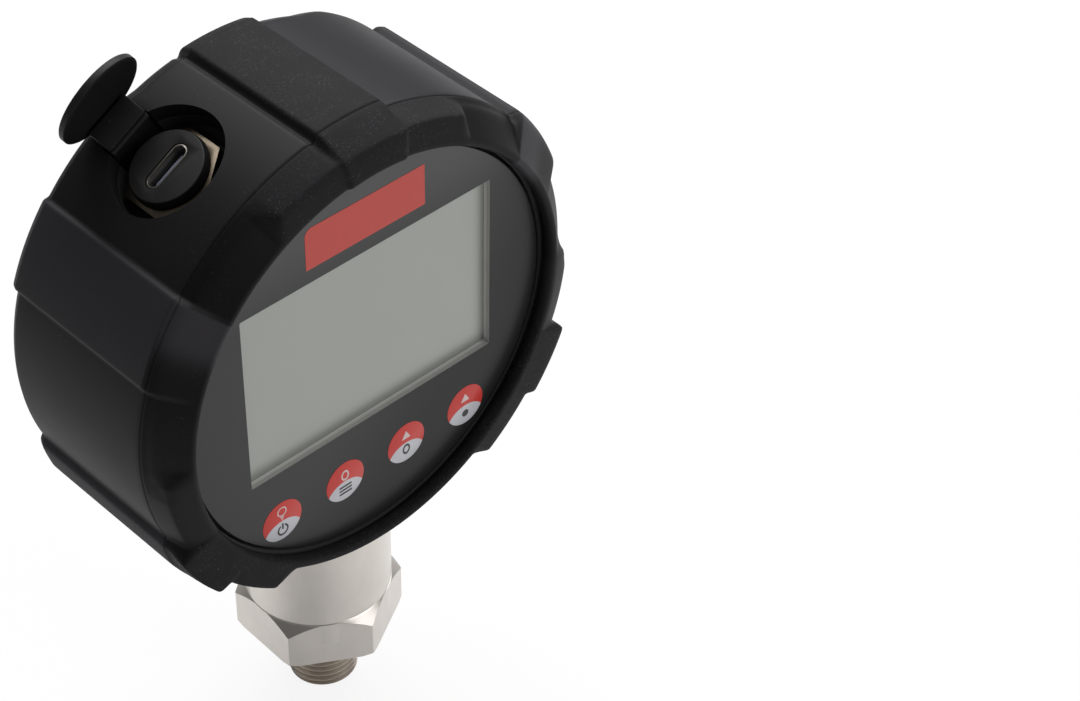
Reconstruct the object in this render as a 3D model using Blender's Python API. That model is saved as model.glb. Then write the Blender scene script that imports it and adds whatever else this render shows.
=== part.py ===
# Digital pressure gauge in a rubber boot, with a capped charging port and a G1/4 pressure stem.
#
# Row frame: the origin is on the stem's axis, on the plane under its hexagon.
# +Z points up along the stem to the dial, -Y points out of the dial, +X is to the viewer's right.
# All sizes are in metres.

import math

import bmesh
import bpy
from mathutils import Matrix, Vector

# General fits
GAP = 0.0003
SMALL_SEGMENTS = 24
SCREW_SEGMENTS = 12
ROUND_SEGMENTS = 40
DIAL_SEGMENTS = 64

# Pressure stem, a turned and milled stainless part
HEX_ACROSS_FLATS = 0.027
HEX_HEIGHT = 0.0097
HEX_TURN = -1.5
HEX_CHAMFER_SLOPE = 1.05
HEX_CROWN_OVERLAP = 0.0008
NECK_RADIUS = 0.0136
THREAD_RADIUS = 0.00658
THREAD_LENGTH = 0.015
THREAD_RELIEF_DEPTH = 0.0009
THREAD_RELIEF_LENGTH = 0.0018
THREAD_END_CHAMFER = 0.0011
PRESSURE_BORE_RADIUS = 0.0031
PRESSURE_BORE_DEPTH = 0.034
DRILL_POINT_RADIUS = 0.0012
SPIGOT_RADIUS = 0.0084
SPIGOT_LENGTH = 0.0094
SENSOR_RADIUS = 0.0063
SENSOR_HEIGHT = 0.0052
SENSOR_SEAT_DEPTH = 0.0092
SENSOR_SEAL_THICKNESS = 0.0008
RETAINER_THICKNESS = 0.0018
RETAINER_HOLE_RADIUS = 0.0034
STEM_SEAL_THICKNESS = 0.0006
STEM_NUT_ACROSS_FLATS = 0.021
STEM_NUT_HEIGHT = 0.004

# Dial axis: its height over the hexagon's underside and its front over the stem's axis
DIAL_HEIGHT = 0.0754
LENS_SETBACK = 0.0175

# Lens and its seat in the case
LENS_RIM_WIDTH = 0.0041
LENS_THICKNESS = 0.0018
LENS_EDGE_CHAMFER = 0.0003
LENS_GASKET_THICKNESS = 0.0005
LENS_SEAT_WIDTH = 0.0022
LENS_SEAT_THICKNESS = 0.0015

# Case, a moulded cup with a screwed rear cover
CASE_RADIUS = 0.0423
CASE_WALL = 0.0023
CASE_DEPTH = 0.0355
CASE_FRONT_CHAMFER = 0.0015
CASE_EDGE = 0.0004
COVER_THICKNESS = 0.002
COVER_PANEL_RADIUS = 0.025
COVER_PANEL_DEPTH = 0.0004
COVER_RECESS = 0.0002
COVER_GASKET_THICKNESS = 0.0006
COVER_GASKET_WIDTH = 0.0026
COVER_SEAT_THICKNESS = 0.0015
STEM_BOSS_FLOOR = 0.0031
STEM_BOSS_WALL = 0.0006
STEM_POCKET_DEPTH = 0.0025

# Posts and screws
POST_RADIUS = 0.0026
POST_WALL_INSET = 0.0045
POST_ANGLES = (-120.0, -60.0, 60.0, 120.0)
REAR_POST_FRONT_DEPTH = 0.015
STANDOFF_ANGLES = (-90.0, 0.0, 24.0, 90.0)
STANDOFF_WALL_INSET = 0.0038
PILOT_RADIUS = 0.0013
SCREW_SHANK_RADIUS = 0.00095
SCREW_HEAD_RADIUS = 0.0023
SCREW_HEAD_HEIGHT = 0.0012
SCREW_LENGTH = 0.006
REAR_SCREW_HOLE_RADIUS = 0.0015
REAR_SCREW_SINK_RADIUS = 0.0028
REAR_SCREW_SINK_DEPTH = 0.0013

# Display stack behind the lens
WINDOW_WIDTH = 0.0534
WINDOW_HEIGHT = 0.0359
WINDOW_CENTRE = 0.00385
WINDOW_FLOOR = 0.0003
WINDOW_CORNER_RADIUS = 0.0004
DISPLAY_MARGIN = 0.0008
DISPLAY_THICKNESS = 0.0024
DISPLAY_FRAME_WIDTH = 0.058
DISPLAY_FRAME_HEIGHT = 0.041
DISPLAY_FRAME_BORDER = 0.004
BACKLIGHT_THICKNESS = 0.0036
BOARD_FRONT_DEPTH = 0.0101
BOARD_THICKNESS = 0.0016
BOARD_EDGE_CLEARANCE = 0.0008
BOARD_STEM_CLEARANCE = 0.0014

# Key switches under the lens's flexible keys
KEY_PITCH = 0.01394
KEY_HEIGHT = -0.02507
SWITCH_WIDTH = 0.006
SWITCH_BODY_HEIGHT = 0.0036
SWITCH_PLUNGER_RADIUS = 0.0017

# Battery on the back of the board
BATTERY_WIDTH = 0.044
BATTERY_HEIGHT = 0.030
BATTERY_THICKNESS = 0.006
BATTERY_CENTRE = -0.0015
BATTERY_CORNER_RADIUS = 0.002
TRAY_WALL = 0.0014
TRAY_FLOOR = 0.0012
TRAY_DEPTH = 0.006

# Rubber boot: radii and depths in its section
BOOT_SIDE_WALL = 0.0034
BOOT_BACK_THICKNESS = 0.0024
BOOT_LIP_HEIGHT = 0.0029
BOOT_LIP_FLARE = 0.0006
BOOT_CREST_WIDTH = 0.0008
BOOT_CREST_ROUND = 0.0004
BOOT_FACE_INSET = 0.0018
BOOT_FACE_DROP = 0.0005
BOOT_FACE_ROUND = 0.0007
BOOT_CREASE_DEPTH = 0.0037
BOOT_SHOULDER_CREASE_RISE = 0.0010
BOOT_SECTION_SPACING = 7.0
BOOT_CREASE_ROUND = 0.0011
BOOT_BACK_BEVEL_LENGTH = 0.0037
BOOT_BACK_BEVEL_WIDTH = 0.0019
BOOT_BACK_LIP_WIDTH = 0.0058
BOOT_STEM_CLEARANCE = 0.0005

# Rubber boot: the half-angles from the top at which its side panels end, in degrees,
# and how far each panel stands out from the boot's side
TOP_RIB_END = 8.6
PORT_PANEL_END = 49.7
SHOULDER_END = 70.2
CHEEK_END = 113.2
FOOT_BLOCK_END = 130.2
FOOT_END = 146.5
TOP_RIB_RAISE = 0.0009
PORT_PANEL_RAISE = 0.0
PLAIN_PANEL_RAISE = -0.0007
SHOULDER_RAISE = 0.0012
CHEEK_RAISE = -0.0010
FOOT_BLOCK_RAISE = 0.0021
FOOT_RAISE = 0.0001
BOTTOM_RAISE = -0.0016
PANEL_STEP_ANGLE = 0.9
TOP_RIB_FRONT_RAISE = 0.0005
FOOT_BLOCK_FACE_RAISE = 0.0028
FOOT_FACE_RAISE = 0.0005

# Rubber boot: the scallops in the front ring, as half-angles from the top in degrees
UPPER_SCALLOP_START = 27.5
UPPER_SCALLOP_RAMP = 5.0
UPPER_SCALLOP_END = 91.0
UPPER_SCALLOP_END_RAMP = 6.0
UPPER_SCALLOP_END_LEAN = 4.0
LOWER_SCALLOP_START = 148.0
LOWER_SCALLOP_RAMP = 4.0

# Port in the boot's side
PORT_ANGLE = -29.6
PORT_BACK_MARGIN = 0.0139
PORT_HOLE_RADIUS = 0.0100
SOCKET_SIDE_OFFSET = -0.0005
SOCKET_BACK_OFFSET = 0.0009
PORT_FACE_SINK = 0.0025
PORT_FACE_RADIUS = 0.0069
PORT_FACE_THICKNESS = 0.0015
PORT_FACE_RIM_WIDTH = 0.0010
PORT_FACE_RIM_HEIGHT = 0.00045
PORT_PLUG_RADIUS = 0.0052
PORT_PLUG_LENGTH = 0.0075
PORT_HEAD_ACROSS_FLATS = 0.015
PORT_HEAD_THICKNESS = 0.0017
PORT_BARREL_RADIUS = 0.0061
PORT_NUT_ACROSS_FLATS = 0.015
PORT_NUT_THICKNESS = 0.0027
PORT_BARREL_OVERHANG = 0.0008
PORT_POCKET_RADIUS = 0.0101
PORT_BOSS_WALL = 0.0006
PORT_BOSS_FLOOR = 0.0020
PORT_SLOT_WIDTH = 0.0090
PORT_SLOT_HEIGHT = 0.0033
PORT_SHELL_CLEARANCE = 0.00015
PORT_SHELL_WALL = 0.0003
PORT_TONGUE_WIDTH = 0.0064
PORT_TONGUE_THICKNESS = 0.0007
PORT_TONGUE_SINK = 0.0011
PORT_TONGUE_BASE = 0.0018

# Port cap: a rubber ring round the port, a strap and a disc, which bend at two living hinges
CAP_RING_THICKNESS = 0.0008
CAP_RING_RADIUS = 0.0089
CAP_LEG_WIDTH = 0.0084
CAP_LEG_THICKNESS = 0.0007
CAP_HINGE_BACK = 0.0093
CAP_HINGE_SINK = 0.0006
CAP_KNUCKLE_RADIUS = 0.0007
CAP_STRAP_LENGTH = 0.0048
CAP_STRAP_THICKNESS = 0.0014
CAP_STRAP_OFFSET = 0.0010
CAP_STRAP_OPEN_ANGLE = 25.0
CAP_DISC_RADIUS = 0.0085
CAP_DISC_THICKNESS = 0.0013
CAP_DISC_ATTACH = 0.0054
CAP_DISC_SIDE_OFFSET = 0.0005
CAP_DISC_EDGE = 0.0003
CAP_CLOSED_REACH = 0.0095


# Materials
def material(name, colour, roughness, metallic=0.0):
    """Return a Principled material with one colour."""
    made = bpy.data.materials.new(name)
    made.use_nodes = True
    shader = made.node_tree.nodes["Principled BSDF"]
    shader.inputs["Base Color"].default_value = (*colour, 1.0)
    shader.inputs["Roughness"].default_value = roughness
    shader.inputs["Metallic"].default_value = metallic
    return made


def boot_rubber():
    return material("boot_rubber", (0.016, 0.016, 0.017), 0.62)


def case_plastic():
    return material("case_plastic", (0.02, 0.02, 0.023), 0.42)


def seal_rubber():
    return material("seal_rubber", (0.012, 0.012, 0.012), 0.7)


def clear_panel():
    return material("clear_panel", (0.035, 0.035, 0.037), 0.12)


def display_glass():
    return material("display_glass", (0.29, 0.30, 0.27), 0.25)


def frame_plastic():
    return material("frame_plastic", (0.7, 0.7, 0.68), 0.5)


def light_guide():
    return material("light_guide", (0.82, 0.84, 0.84), 0.3)


def board_laminate():
    return material("board_laminate", (0.02, 0.12, 0.05), 0.45)


def switch_plastic():
    return material("switch_plastic", (0.03, 0.03, 0.03), 0.5)


def battery_foil():
    return material("battery_foil", (0.5, 0.51, 0.53), 0.35, 0.6)


def stainless():
    return material("stainless", (0.50, 0.48, 0.46), 0.28, 1.0)


def plated_steel():
    return material("plated_steel", (0.55, 0.55, 0.54), 0.32, 1.0)


def nickel_brass():
    return material("nickel_brass", (0.62, 0.56, 0.45), 0.25, 1.0)


def port_plastic():
    return material("port_plastic", (0.02, 0.02, 0.021), 0.6)


# Modelling helpers
def finish_mesh(bm, name):
    """Turn a bmesh into a mesh whose faces all point outwards, smooth on its round parts."""
    bmesh.ops.remove_doubles(bm, verts=bm.verts, dist=1e-7)
    bmesh.ops.recalc_face_normals(bm, faces=bm.faces)
    if bm.calc_volume(signed=True) < 0.0:
        bmesh.ops.reverse_faces(bm, faces=bm.faces)
    mesh = bpy.data.meshes.new(name)
    bm.to_mesh(mesh)
    bm.free()
    mesh.shade_smooth()
    mesh.set_sharp_from_angle(angle=math.radians(32.0))
    return mesh


def place(mesh, name, finish, parent=None, location=(0.0, 0.0, 0.0), rotation=(0.0, 0.0, 0.0)):
    """Add a named object for a mesh, under its parent."""
    placed = bpy.data.objects.new(name, mesh)
    bpy.context.scene.collection.objects.link(placed)
    if finish is not None:
        mesh.materials.append(finish)
    placed.parent = parent
    placed.location = location
    placed.rotation_euler = rotation
    return placed


def empty(name, parent=None, location=(0.0, 0.0, 0.0), rotation=(0.0, 0.0, 0.0)):
    """Add an empty that carries the pieces of one axis."""
    return place_empty(bpy.data.objects.new(name, None), parent, location, rotation)


def place_empty(marker, parent, location, rotation):
    bpy.context.scene.collection.objects.link(marker)
    marker.parent = parent
    marker.location = location
    marker.rotation_euler = rotation
    return marker


def turned(name, profile, segments=ROUND_SEGMENTS, closed=True):
    """Spin a profile of (radius, height) points about Z. An open profile starts and ends on the axis."""
    bm = bmesh.new()
    points = [bm.verts.new((radius, 0.0, height)) for radius, height in profile]
    edges = [bm.edges.new(pair) for pair in zip(points, points[1:])]
    if closed:
        edges.append(bm.edges.new((points[-1], points[0])))
    bmesh.ops.spin(
        bm,
        geom=points + edges,
        axis=(0.0, 0.0, 1.0),
        cent=(0.0, 0.0, 0.0),
        angle=2.0 * math.pi,
        steps=segments,
        use_merge=True,
    )
    return finish_mesh(bm, name)


def prism(name, outline, low, high):
    """Extrude a flat outline of (x, y) points from one height to another."""
    bm = bmesh.new()
    face = bm.faces.new([bm.verts.new((x, y, low)) for x, y in outline])
    grown = bmesh.ops.extrude_face_region(bm, geom=[face])
    moved = [item for item in grown["geom"] if isinstance(item, bmesh.types.BMVert)]
    bmesh.ops.translate(bm, verts=moved, vec=(0.0, 0.0, high - low))
    return finish_mesh(bm, name)


def framed_prism(name, outer, inner, low, high):
    """Extrude the strip between two outlines that have as many points as each other."""
    bm = bmesh.new()
    loops = []
    for outline, height in ((outer, low), (outer, high), (inner, high), (inner, low)):
        loops.append([bm.verts.new((x, y, height)) for x, y in outline])
    for first, second in zip(loops, loops[1:] + loops[:1]):
        for index in range(len(first)):
            after = (index + 1) % len(first)
            bm.faces.new((first[index], first[after], second[after], second[index]))
    return finish_mesh(bm, name)


def polygon(radius, sides, start_angle=0.0):
    """Return the corners of a regular polygon; the angle is in degrees."""
    turn = 2.0 * math.pi / sides
    start = math.radians(start_angle)
    return [
        (radius * math.cos(start + turn * index), radius * math.sin(start + turn * index))
        for index in range(sides)
    ]


def corner_radius(across_flats):
    """Return a hexagon's corner radius from its width across flats."""
    return across_flats / math.sqrt(3.0)


def rounded_rectangle(width, height, radius, steps=4, centre=(0.0, 0.0)):
    """Return an outline with round corners."""
    points = []
    corners = ((1, 1, 0.0), (-1, 1, 90.0), (-1, -1, 180.0), (1, -1, 270.0))
    for side_x, side_y, start in corners:
        middle_x = centre[0] + side_x * (width / 2.0 - radius)
        middle_y = centre[1] + side_y * (height / 2.0 - radius)
        for step in range(steps + 1):
            angle = math.radians(start + 90.0 * step / steps)
            points.append((middle_x + radius * math.cos(angle), middle_y + radius * math.sin(angle)))
    return points


def slot_outline(width, height, steps=6):
    """Return an outline with two straight sides and two round ends."""
    return rounded_rectangle(width, height, height / 2.0 - 1e-6, steps)


def boolean(target, tool, operation):
    """Cut or join a target with a tool that is itself left out of the model."""
    tool.hide_render = True
    tool.display_type = "WIRE"
    modifier = target.modifiers.new(f"{operation.lower()}_{tool.name}", "BOOLEAN")
    modifier.operation = operation
    modifier.solver = "EXACT"
    modifier.object = tool


def cut(target, mesh, name, parent, location=(0.0, 0.0, 0.0), rotation=(0.0, 0.0, 0.0)):
    """Cut a shape out of a target."""
    boolean(target, place(mesh, name, None, parent, location, rotation), "DIFFERENCE")


def join(target, mesh, name, parent, location=(0.0, 0.0, 0.0), rotation=(0.0, 0.0, 0.0)):
    """Join a shape to a target."""
    boolean(target, place(mesh, name, None, parent, location, rotation), "UNION")


def on_dial(radius, angle):
    """Return the (x, y) place on the dial at an angle clockwise from the top, in degrees."""
    turn = math.radians(angle)
    return radius * math.sin(turn), radius * math.cos(turn)


# Derived sizes
HEX_CORNER = corner_radius(HEX_ACROSS_FLATS)
CASE_INNER_RADIUS = CASE_RADIUS - CASE_WALL
LENS_RADIUS = CASE_RADIUS - LENS_RIM_WIDTH
POST_CIRCLE_RADIUS = CASE_INNER_RADIUS - POST_WALL_INSET
STANDOFF_CIRCLE_RADIUS = CASE_INNER_RADIUS - STANDOFF_WALL_INSET
DISPLAY_FRAME_OPENING_WIDTH = DISPLAY_FRAME_WIDTH - 2.0 * DISPLAY_FRAME_BORDER
DISPLAY_FRAME_OPENING_HEIGHT = DISPLAY_FRAME_HEIGHT - 2.0 * DISPLAY_FRAME_BORDER
LENS_POCKET_RADIUS = LENS_RADIUS + GAP
LENS_SEAT_DEPTH = LENS_THICKNESS + LENS_GASKET_THICKNESS + 2.0 * GAP
LENS_SEAT_RADIUS = LENS_RADIUS - LENS_SEAT_WIDTH
COVER_BACK_DEPTH = CASE_DEPTH - COVER_RECESS
COVER_FRONT_DEPTH = COVER_BACK_DEPTH - COVER_THICKNESS
REAR_POST_LENGTH = COVER_FRONT_DEPTH - GAP - REAR_POST_FRONT_DEPTH
COVER_SEAT_DEPTH = COVER_FRONT_DEPTH - COVER_GASKET_THICKNESS - 2.0 * GAP
COVER_RADIUS = CASE_INNER_RADIUS - GAP
COVER_SEAT_RADIUS = CASE_INNER_RADIUS - COVER_GASKET_WIDTH - 2.0 * GAP
STEM_POCKET_HEIGHT = DIAL_HEIGHT - CASE_RADIUS + STEM_POCKET_DEPTH
STEM_POCKET_RADIUS = NECK_RADIUS + GAP
STEM_BOSS_TOP = STEM_POCKET_HEIGHT + STEM_BOSS_FLOOR
NECK_TOP = STEM_POCKET_HEIGHT - STEM_SEAL_THICKNESS - 2.0 * GAP
SPIGOT_TOP = NECK_TOP + SPIGOT_LENGTH
BOOT_INNER_RADIUS = CASE_RADIUS + GAP
BOOT_SIDE_RADIUS = CASE_RADIUS + BOOT_SIDE_WALL
BOOT_BACK_DEPTH = CASE_DEPTH + BOOT_BACK_THICKNESS
PORT_DEPTH = CASE_DEPTH - PORT_BACK_MARGIN
BOOT_FACE_RADIUS = BOOT_SIDE_RADIUS - BOOT_FACE_INSET
BOOT_BACK_OPENING_RADIUS = CASE_RADIUS - BOOT_BACK_LIP_WIDTH
BOARD_RADIUS = CASE_INNER_RADIUS - BOARD_EDGE_CLEARANCE
BOARD_BOTTOM = SPIGOT_TOP + BOARD_STEM_CLEARANCE - DIAL_HEIGHT
BOARD_BACK_DEPTH = BOARD_FRONT_DEPTH + BOARD_THICKNESS


# Stem group
def add_pressure_stem():
    """Thread, hexagon, neck and spigot, turned from one bar and bored through."""
    flat_drop = (HEX_CORNER - NECK_RADIUS) * HEX_CHAMFER_SLOPE
    crown_radius = NECK_RADIUS - HEX_CROWN_OVERLAP
    crown_top = HEX_HEIGHT + HEX_CROWN_OVERLAP * HEX_CHAMFER_SLOPE
    blank = [
        (0.0, -THREAD_LENGTH),
        (THREAD_RADIUS - THREAD_END_CHAMFER, -THREAD_LENGTH),
        (THREAD_RADIUS, -THREAD_LENGTH + THREAD_END_CHAMFER),
        (THREAD_RADIUS, -THREAD_RELIEF_LENGTH - THREAD_RELIEF_DEPTH),
        (THREAD_RADIUS - THREAD_RELIEF_DEPTH, -THREAD_RELIEF_LENGTH),
        (THREAD_RADIUS - THREAD_RELIEF_DEPTH, HEX_HEIGHT / 2.0),
        (NECK_RADIUS, HEX_HEIGHT / 2.0),
        (NECK_RADIUS, NECK_TOP),
        (SPIGOT_RADIUS, NECK_TOP),
        (SPIGOT_RADIUS, SPIGOT_TOP),
        (0.0, SPIGOT_TOP),
    ]
    stem = place(turned("pressure_stem", blank, closed=False), "pressure_stem", stainless())
    hexagon = place(prism("hexagon", polygon(HEX_CORNER, 6, 30.0), 0.0, 2.0 * HEX_HEIGHT), "hexagon", None)
    crown = [
        (0.0, -HEX_HEIGHT),
        (2.0 * HEX_CORNER, -HEX_HEIGHT),
        (2.0 * HEX_CORNER, HEX_HEIGHT - flat_drop - HEX_CORNER),
        (HEX_CORNER, HEX_HEIGHT - flat_drop),
        (crown_radius, crown_top),
        (0.0, crown_top),
    ]
    trim = place(turned("hexagon_crown", crown, closed=False), "hexagon_crown", None)
    boolean(hexagon, trim, "INTERSECT")
    hexagon.rotation_euler = (0.0, 0.0, math.radians(HEX_TURN))
    boolean(stem, hexagon, "UNION")
    seat_height = SPIGOT_TOP - SENSOR_SEAT_DEPTH
    bore_top = PRESSURE_BORE_DEPTH - THREAD_LENGTH
    bore = [
        (0.0, -THREAD_LENGTH - GAP),
        (PRESSURE_BORE_RADIUS, -THREAD_LENGTH - GAP),
        (PRESSURE_BORE_RADIUS, bore_top),
        (DRILL_POINT_RADIUS, bore_top + PRESSURE_BORE_RADIUS - DRILL_POINT_RADIUS),
        (DRILL_POINT_RADIUS, seat_height),
        (SENSOR_RADIUS + GAP, seat_height),
        (SENSOR_RADIUS + GAP, SPIGOT_TOP + GAP),
        (0.0, SPIGOT_TOP + GAP),
    ]
    cut(stem, turned("pressure_bore", bore, SMALL_SEGMENTS, False), "pressure_bore", None)


def add_sensor_group():
    """The sensor cell on its seal, held down in the stem's spigot by a threaded ring."""
    seat_height = SPIGOT_TOP - SENSOR_SEAT_DEPTH
    seal_low = seat_height + GAP
    seal = [
        (SENSOR_RADIUS - 0.0016, seal_low),
        (SENSOR_RADIUS, seal_low),
        (SENSOR_RADIUS, seal_low + SENSOR_SEAL_THICKNESS),
        (SENSOR_RADIUS - 0.0016, seal_low + SENSOR_SEAL_THICKNESS),
    ]
    place(turned("sensor_seal", seal, SMALL_SEGMENTS), "sensor_seal", seal_rubber())
    cell_low = seal_low + SENSOR_SEAL_THICKNESS + GAP
    cell_high = cell_low + SENSOR_HEIGHT
    step_radius = SENSOR_RADIUS - 0.0012
    cell = [
        (0.0, cell_low),
        (SENSOR_RADIUS, cell_low),
        (SENSOR_RADIUS, cell_low + 0.6 * SENSOR_HEIGHT),
        (step_radius, cell_low + 0.6 * SENSOR_HEIGHT),
        (step_radius, cell_high),
        (0.0, cell_high),
    ]
    place(turned("sensor_cell", cell, SMALL_SEGMENTS, False), "sensor_cell", stainless())
    ring_low = cell_high + GAP
    ring = [
        (RETAINER_HOLE_RADIUS, ring_low),
        (SENSOR_RADIUS, ring_low),
        (SENSOR_RADIUS, ring_low + RETAINER_THICKNESS),
        (RETAINER_HOLE_RADIUS, ring_low + RETAINER_THICKNESS),
    ]
    place(turned("sensor_retainer", ring, SMALL_SEGMENTS), "sensor_retainer", plated_steel())


def add_stem_fixings():
    """The seal under the case and the nut that holds the case on the stem."""
    seal_low = NECK_TOP + GAP
    seal = [
        (SPIGOT_RADIUS + GAP, seal_low),
        (NECK_RADIUS - GAP, seal_low),
        (NECK_RADIUS - GAP, seal_low + STEM_SEAL_THICKNESS),
        (SPIGOT_RADIUS + GAP, seal_low + STEM_SEAL_THICKNESS),
    ]
    place(turned("stem_seal", seal, 32), "stem_seal", seal_rubber())
    nut_low = STEM_BOSS_TOP + GAP
    nut_high = nut_low + STEM_NUT_HEIGHT
    nut = add_hex_nut("stem_nut", STEM_NUT_ACROSS_FLATS, SPIGOT_RADIUS + GAP, nut_low, nut_high)
    place(nut, "stem_nut", plated_steel())


def add_hex_nut(name, across_flats, bore_radius, low, high):
    """Return a hexagon nut's mesh, with a plain bore."""
    sides = SMALL_SEGMENTS
    outer = []
    flats = polygon(corner_radius(across_flats), 6)
    per_side = sides // 6
    for index, corner in enumerate(flats):
        following = flats[(index + 1) % 6]
        for step in range(per_side):
            share = step / per_side
            outer.append(tuple(a + (b - a) * share for a, b in zip(corner, following)))
    inner = polygon(bore_radius, sides)
    return framed_prism(name, outer, inner, low, high)


# Case group, on the dial's axis: x right, y up, z out of the dial
def add_case_body(dial, port):
    """The moulded cup with its lens seat, rear seat, posts, stem boss and port boss."""
    rim = [
        (LENS_POCKET_RADIUS, 0.0),
        (CASE_RADIUS - CASE_FRONT_CHAMFER, 0.0),
        (CASE_RADIUS, -CASE_FRONT_CHAMFER),
        (CASE_RADIUS, -CASE_DEPTH),
        (CASE_INNER_RADIUS, -CASE_DEPTH),
        (CASE_INNER_RADIUS, -COVER_SEAT_DEPTH),
        (COVER_SEAT_RADIUS, -COVER_SEAT_DEPTH),
        (COVER_SEAT_RADIUS, -COVER_SEAT_DEPTH + COVER_SEAT_THICKNESS),
        (CASE_INNER_RADIUS, -COVER_SEAT_DEPTH + COVER_SEAT_THICKNESS + COVER_GASKET_WIDTH),
        (CASE_INNER_RADIUS, -LENS_SEAT_DEPTH - LENS_SEAT_THICKNESS),
        (LENS_SEAT_RADIUS, -LENS_SEAT_DEPTH - LENS_SEAT_THICKNESS),
        (LENS_SEAT_RADIUS, -LENS_SEAT_DEPTH),
        (LENS_POCKET_RADIUS, -LENS_SEAT_DEPTH),
    ]
    case = place(turned("case_body", rim, DIAL_SEGMENTS), "case_body", case_plastic(), dial)
    for index, angle in enumerate(POST_ANGLES):
        x, y = on_dial(POST_CIRCLE_RADIUS, angle)
        top = COVER_FRONT_DEPTH - GAP
        shaft = prism(f"rear_post_{index + 1}", polygon(POST_RADIUS, 10), -top, REAR_POST_LENGTH - top)
        join(case, shaft, f"rear_post_{index + 1}", dial, (x, y, 0.0))
        web_low, web_high = -top + 2.0 * GAP, REAR_POST_LENGTH - top - 2.0 * GAP
        web = prism(f"rear_web_{index + 1}", rib_outline(POST_RADIUS, POST_CIRCLE_RADIUS), web_low, web_high)
        join(case, web, f"rear_web_{index + 1}", dial, (0.0, 0.0, 0.0), (0.0, 0.0, -math.radians(angle)))
    for index, angle in enumerate(STANDOFF_ANGLES):
        x, y = on_dial(STANDOFF_CIRCLE_RADIUS, angle)
        back = BOARD_FRONT_DEPTH - GAP
        front = LENS_SEAT_DEPTH + LENS_SEAT_THICKNESS / 2.0
        standoff = prism(f"standoff_{index + 1}", polygon(POST_RADIUS, 10), -back, -front)
        join(case, standoff, f"standoff_{index + 1}", dial, (x, y, 0.0))
    boss_radius = STEM_POCKET_RADIUS + STEM_BOSS_WALL
    boss = prism("stem_boss", polygon(boss_radius, 40), DIAL_HEIGHT - CASE_RADIUS, STEM_BOSS_TOP)
    join_inside(case, boss, "stem_boss", None, dial)
    pocket = prism("stem_pocket", polygon(STEM_POCKET_RADIUS, 40), 0.0, STEM_POCKET_HEIGHT)
    cut(case, pocket, "stem_pocket", None)
    hole = prism("stem_hole", polygon(SPIGOT_RADIUS + GAP, 32), 0.0, STEM_BOSS_TOP + CASE_WALL)
    cut(case, hole, "stem_hole", None)
    add_port_seat(case, port, dial)
    for index, angle in enumerate(POST_ANGLES):
        x, y = on_dial(POST_CIRCLE_RADIUS, angle)
        low = -COVER_BACK_DEPTH
        high = low + COVER_THICKNESS + SCREW_LENGTH
        pilot = prism(f"rear_pilot_{index + 1}", polygon(PILOT_RADIUS, 6), low, high)
        cut(case, pilot, f"rear_pilot_{index + 1}", dial, (x, y, 0.0))
    for index, angle in enumerate(STANDOFF_ANGLES):
        x, y = on_dial(STANDOFF_CIRCLE_RADIUS, angle)
        low = -BOARD_FRONT_DEPTH
        pilot = prism(f"front_pilot_{index + 1}", polygon(PILOT_RADIUS, 6), low, low + SCREW_LENGTH - GAP)
        cut(case, pilot, f"front_pilot_{index + 1}", dial, (x, y, 0.0))
    return case


def rib_outline(width_radius, circle_radius):
    """Return the outline of a web from a post's middle to the case's wall, towards local +Y."""
    half = 0.6 * width_radius
    wall = CASE_INNER_RADIUS + CASE_WALL / 2.0
    return [(-half, circle_radius), (half, circle_radius), (half, wall), (-half, wall)]


def join_inside(case, mesh, name, parent, dial):
    """Join a boss to the case, cut off within the case's wall."""
    boss = place(mesh, name, None, parent)
    middle = CASE_RADIUS - CASE_WALL / 2.0
    envelope = prism(f"{name}_envelope", polygon(middle, DIAL_SEGMENTS), -CASE_DEPTH, 0.0)
    boolean(boss, place(envelope, f"{name}_envelope", None, dial), "INTERSECT")
    boolean(case, boss, "UNION")


def add_port_seat(case, port, dial):
    """The boss inside the case and the pocket that the port's head and the cap's ring sit in."""
    floor = port_floor_height()
    boss_radius = PORT_POCKET_RADIUS + PORT_BOSS_WALL
    wall_middle = CASE_RADIUS - CASE_WALL / 2.0 - BOOT_SIDE_RADIUS
    boss = prism("port_boss", polygon(boss_radius, 32), floor - PORT_BOSS_FLOOR, wall_middle)
    join_inside(case, boss, "port_boss", port, dial)
    cut(case, prism("port_pocket", polygon(PORT_POCKET_RADIUS, 40), floor, 0.0), "port_pocket", port)
    cut(case, leg_slot("case_leg_slot", floor), "case_leg_slot", port)
    hole_radius = PORT_BARREL_RADIUS + GAP
    hole = prism("port_hole", polygon(hole_radius, 28), floor - PORT_BOSS_FLOOR - CASE_WALL, floor + GAP)
    cut(case, hole, "port_hole", port, socket_place())


def socket_place():
    """Return where the socket's axis stands in the port's frame, a little off the hole's middle."""
    return SOCKET_SIDE_OFFSET, SOCKET_BACK_OFFSET, 0.0


def port_floor_height():
    """Return the pocket floor's height along the port's axis, from the boot's side."""
    return port_head_low() - CAP_RING_THICKNESS - 2.0 * GAP


def port_head_low():
    return -PORT_FACE_SINK - PORT_FACE_THICKNESS - GAP - PORT_HEAD_THICKNESS


def leg_slot(name, low):
    """Return the slot behind the port hole in which the cap's leg stands."""
    half = CAP_LEG_WIDTH / 2.0 + GAP
    back = leg_front() + CAP_LEG_THICKNESS + GAP
    front = CAP_HINGE_BACK / 2.0
    return prism(name, [(-half, front), (half, front), (half, back), (-half, back)], low, 0.004)


def leg_front():
    """Return how far behind the port's axis the leg's front face lies."""
    corner = SOCKET_BACK_OFFSET + corner_radius(PORT_HEAD_ACROSS_FLATS)
    return max(corner + GAP, CAP_HINGE_BACK + CAP_KNUCKLE_RADIUS - 0.1 * CAP_LEG_THICKNESS)


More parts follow.
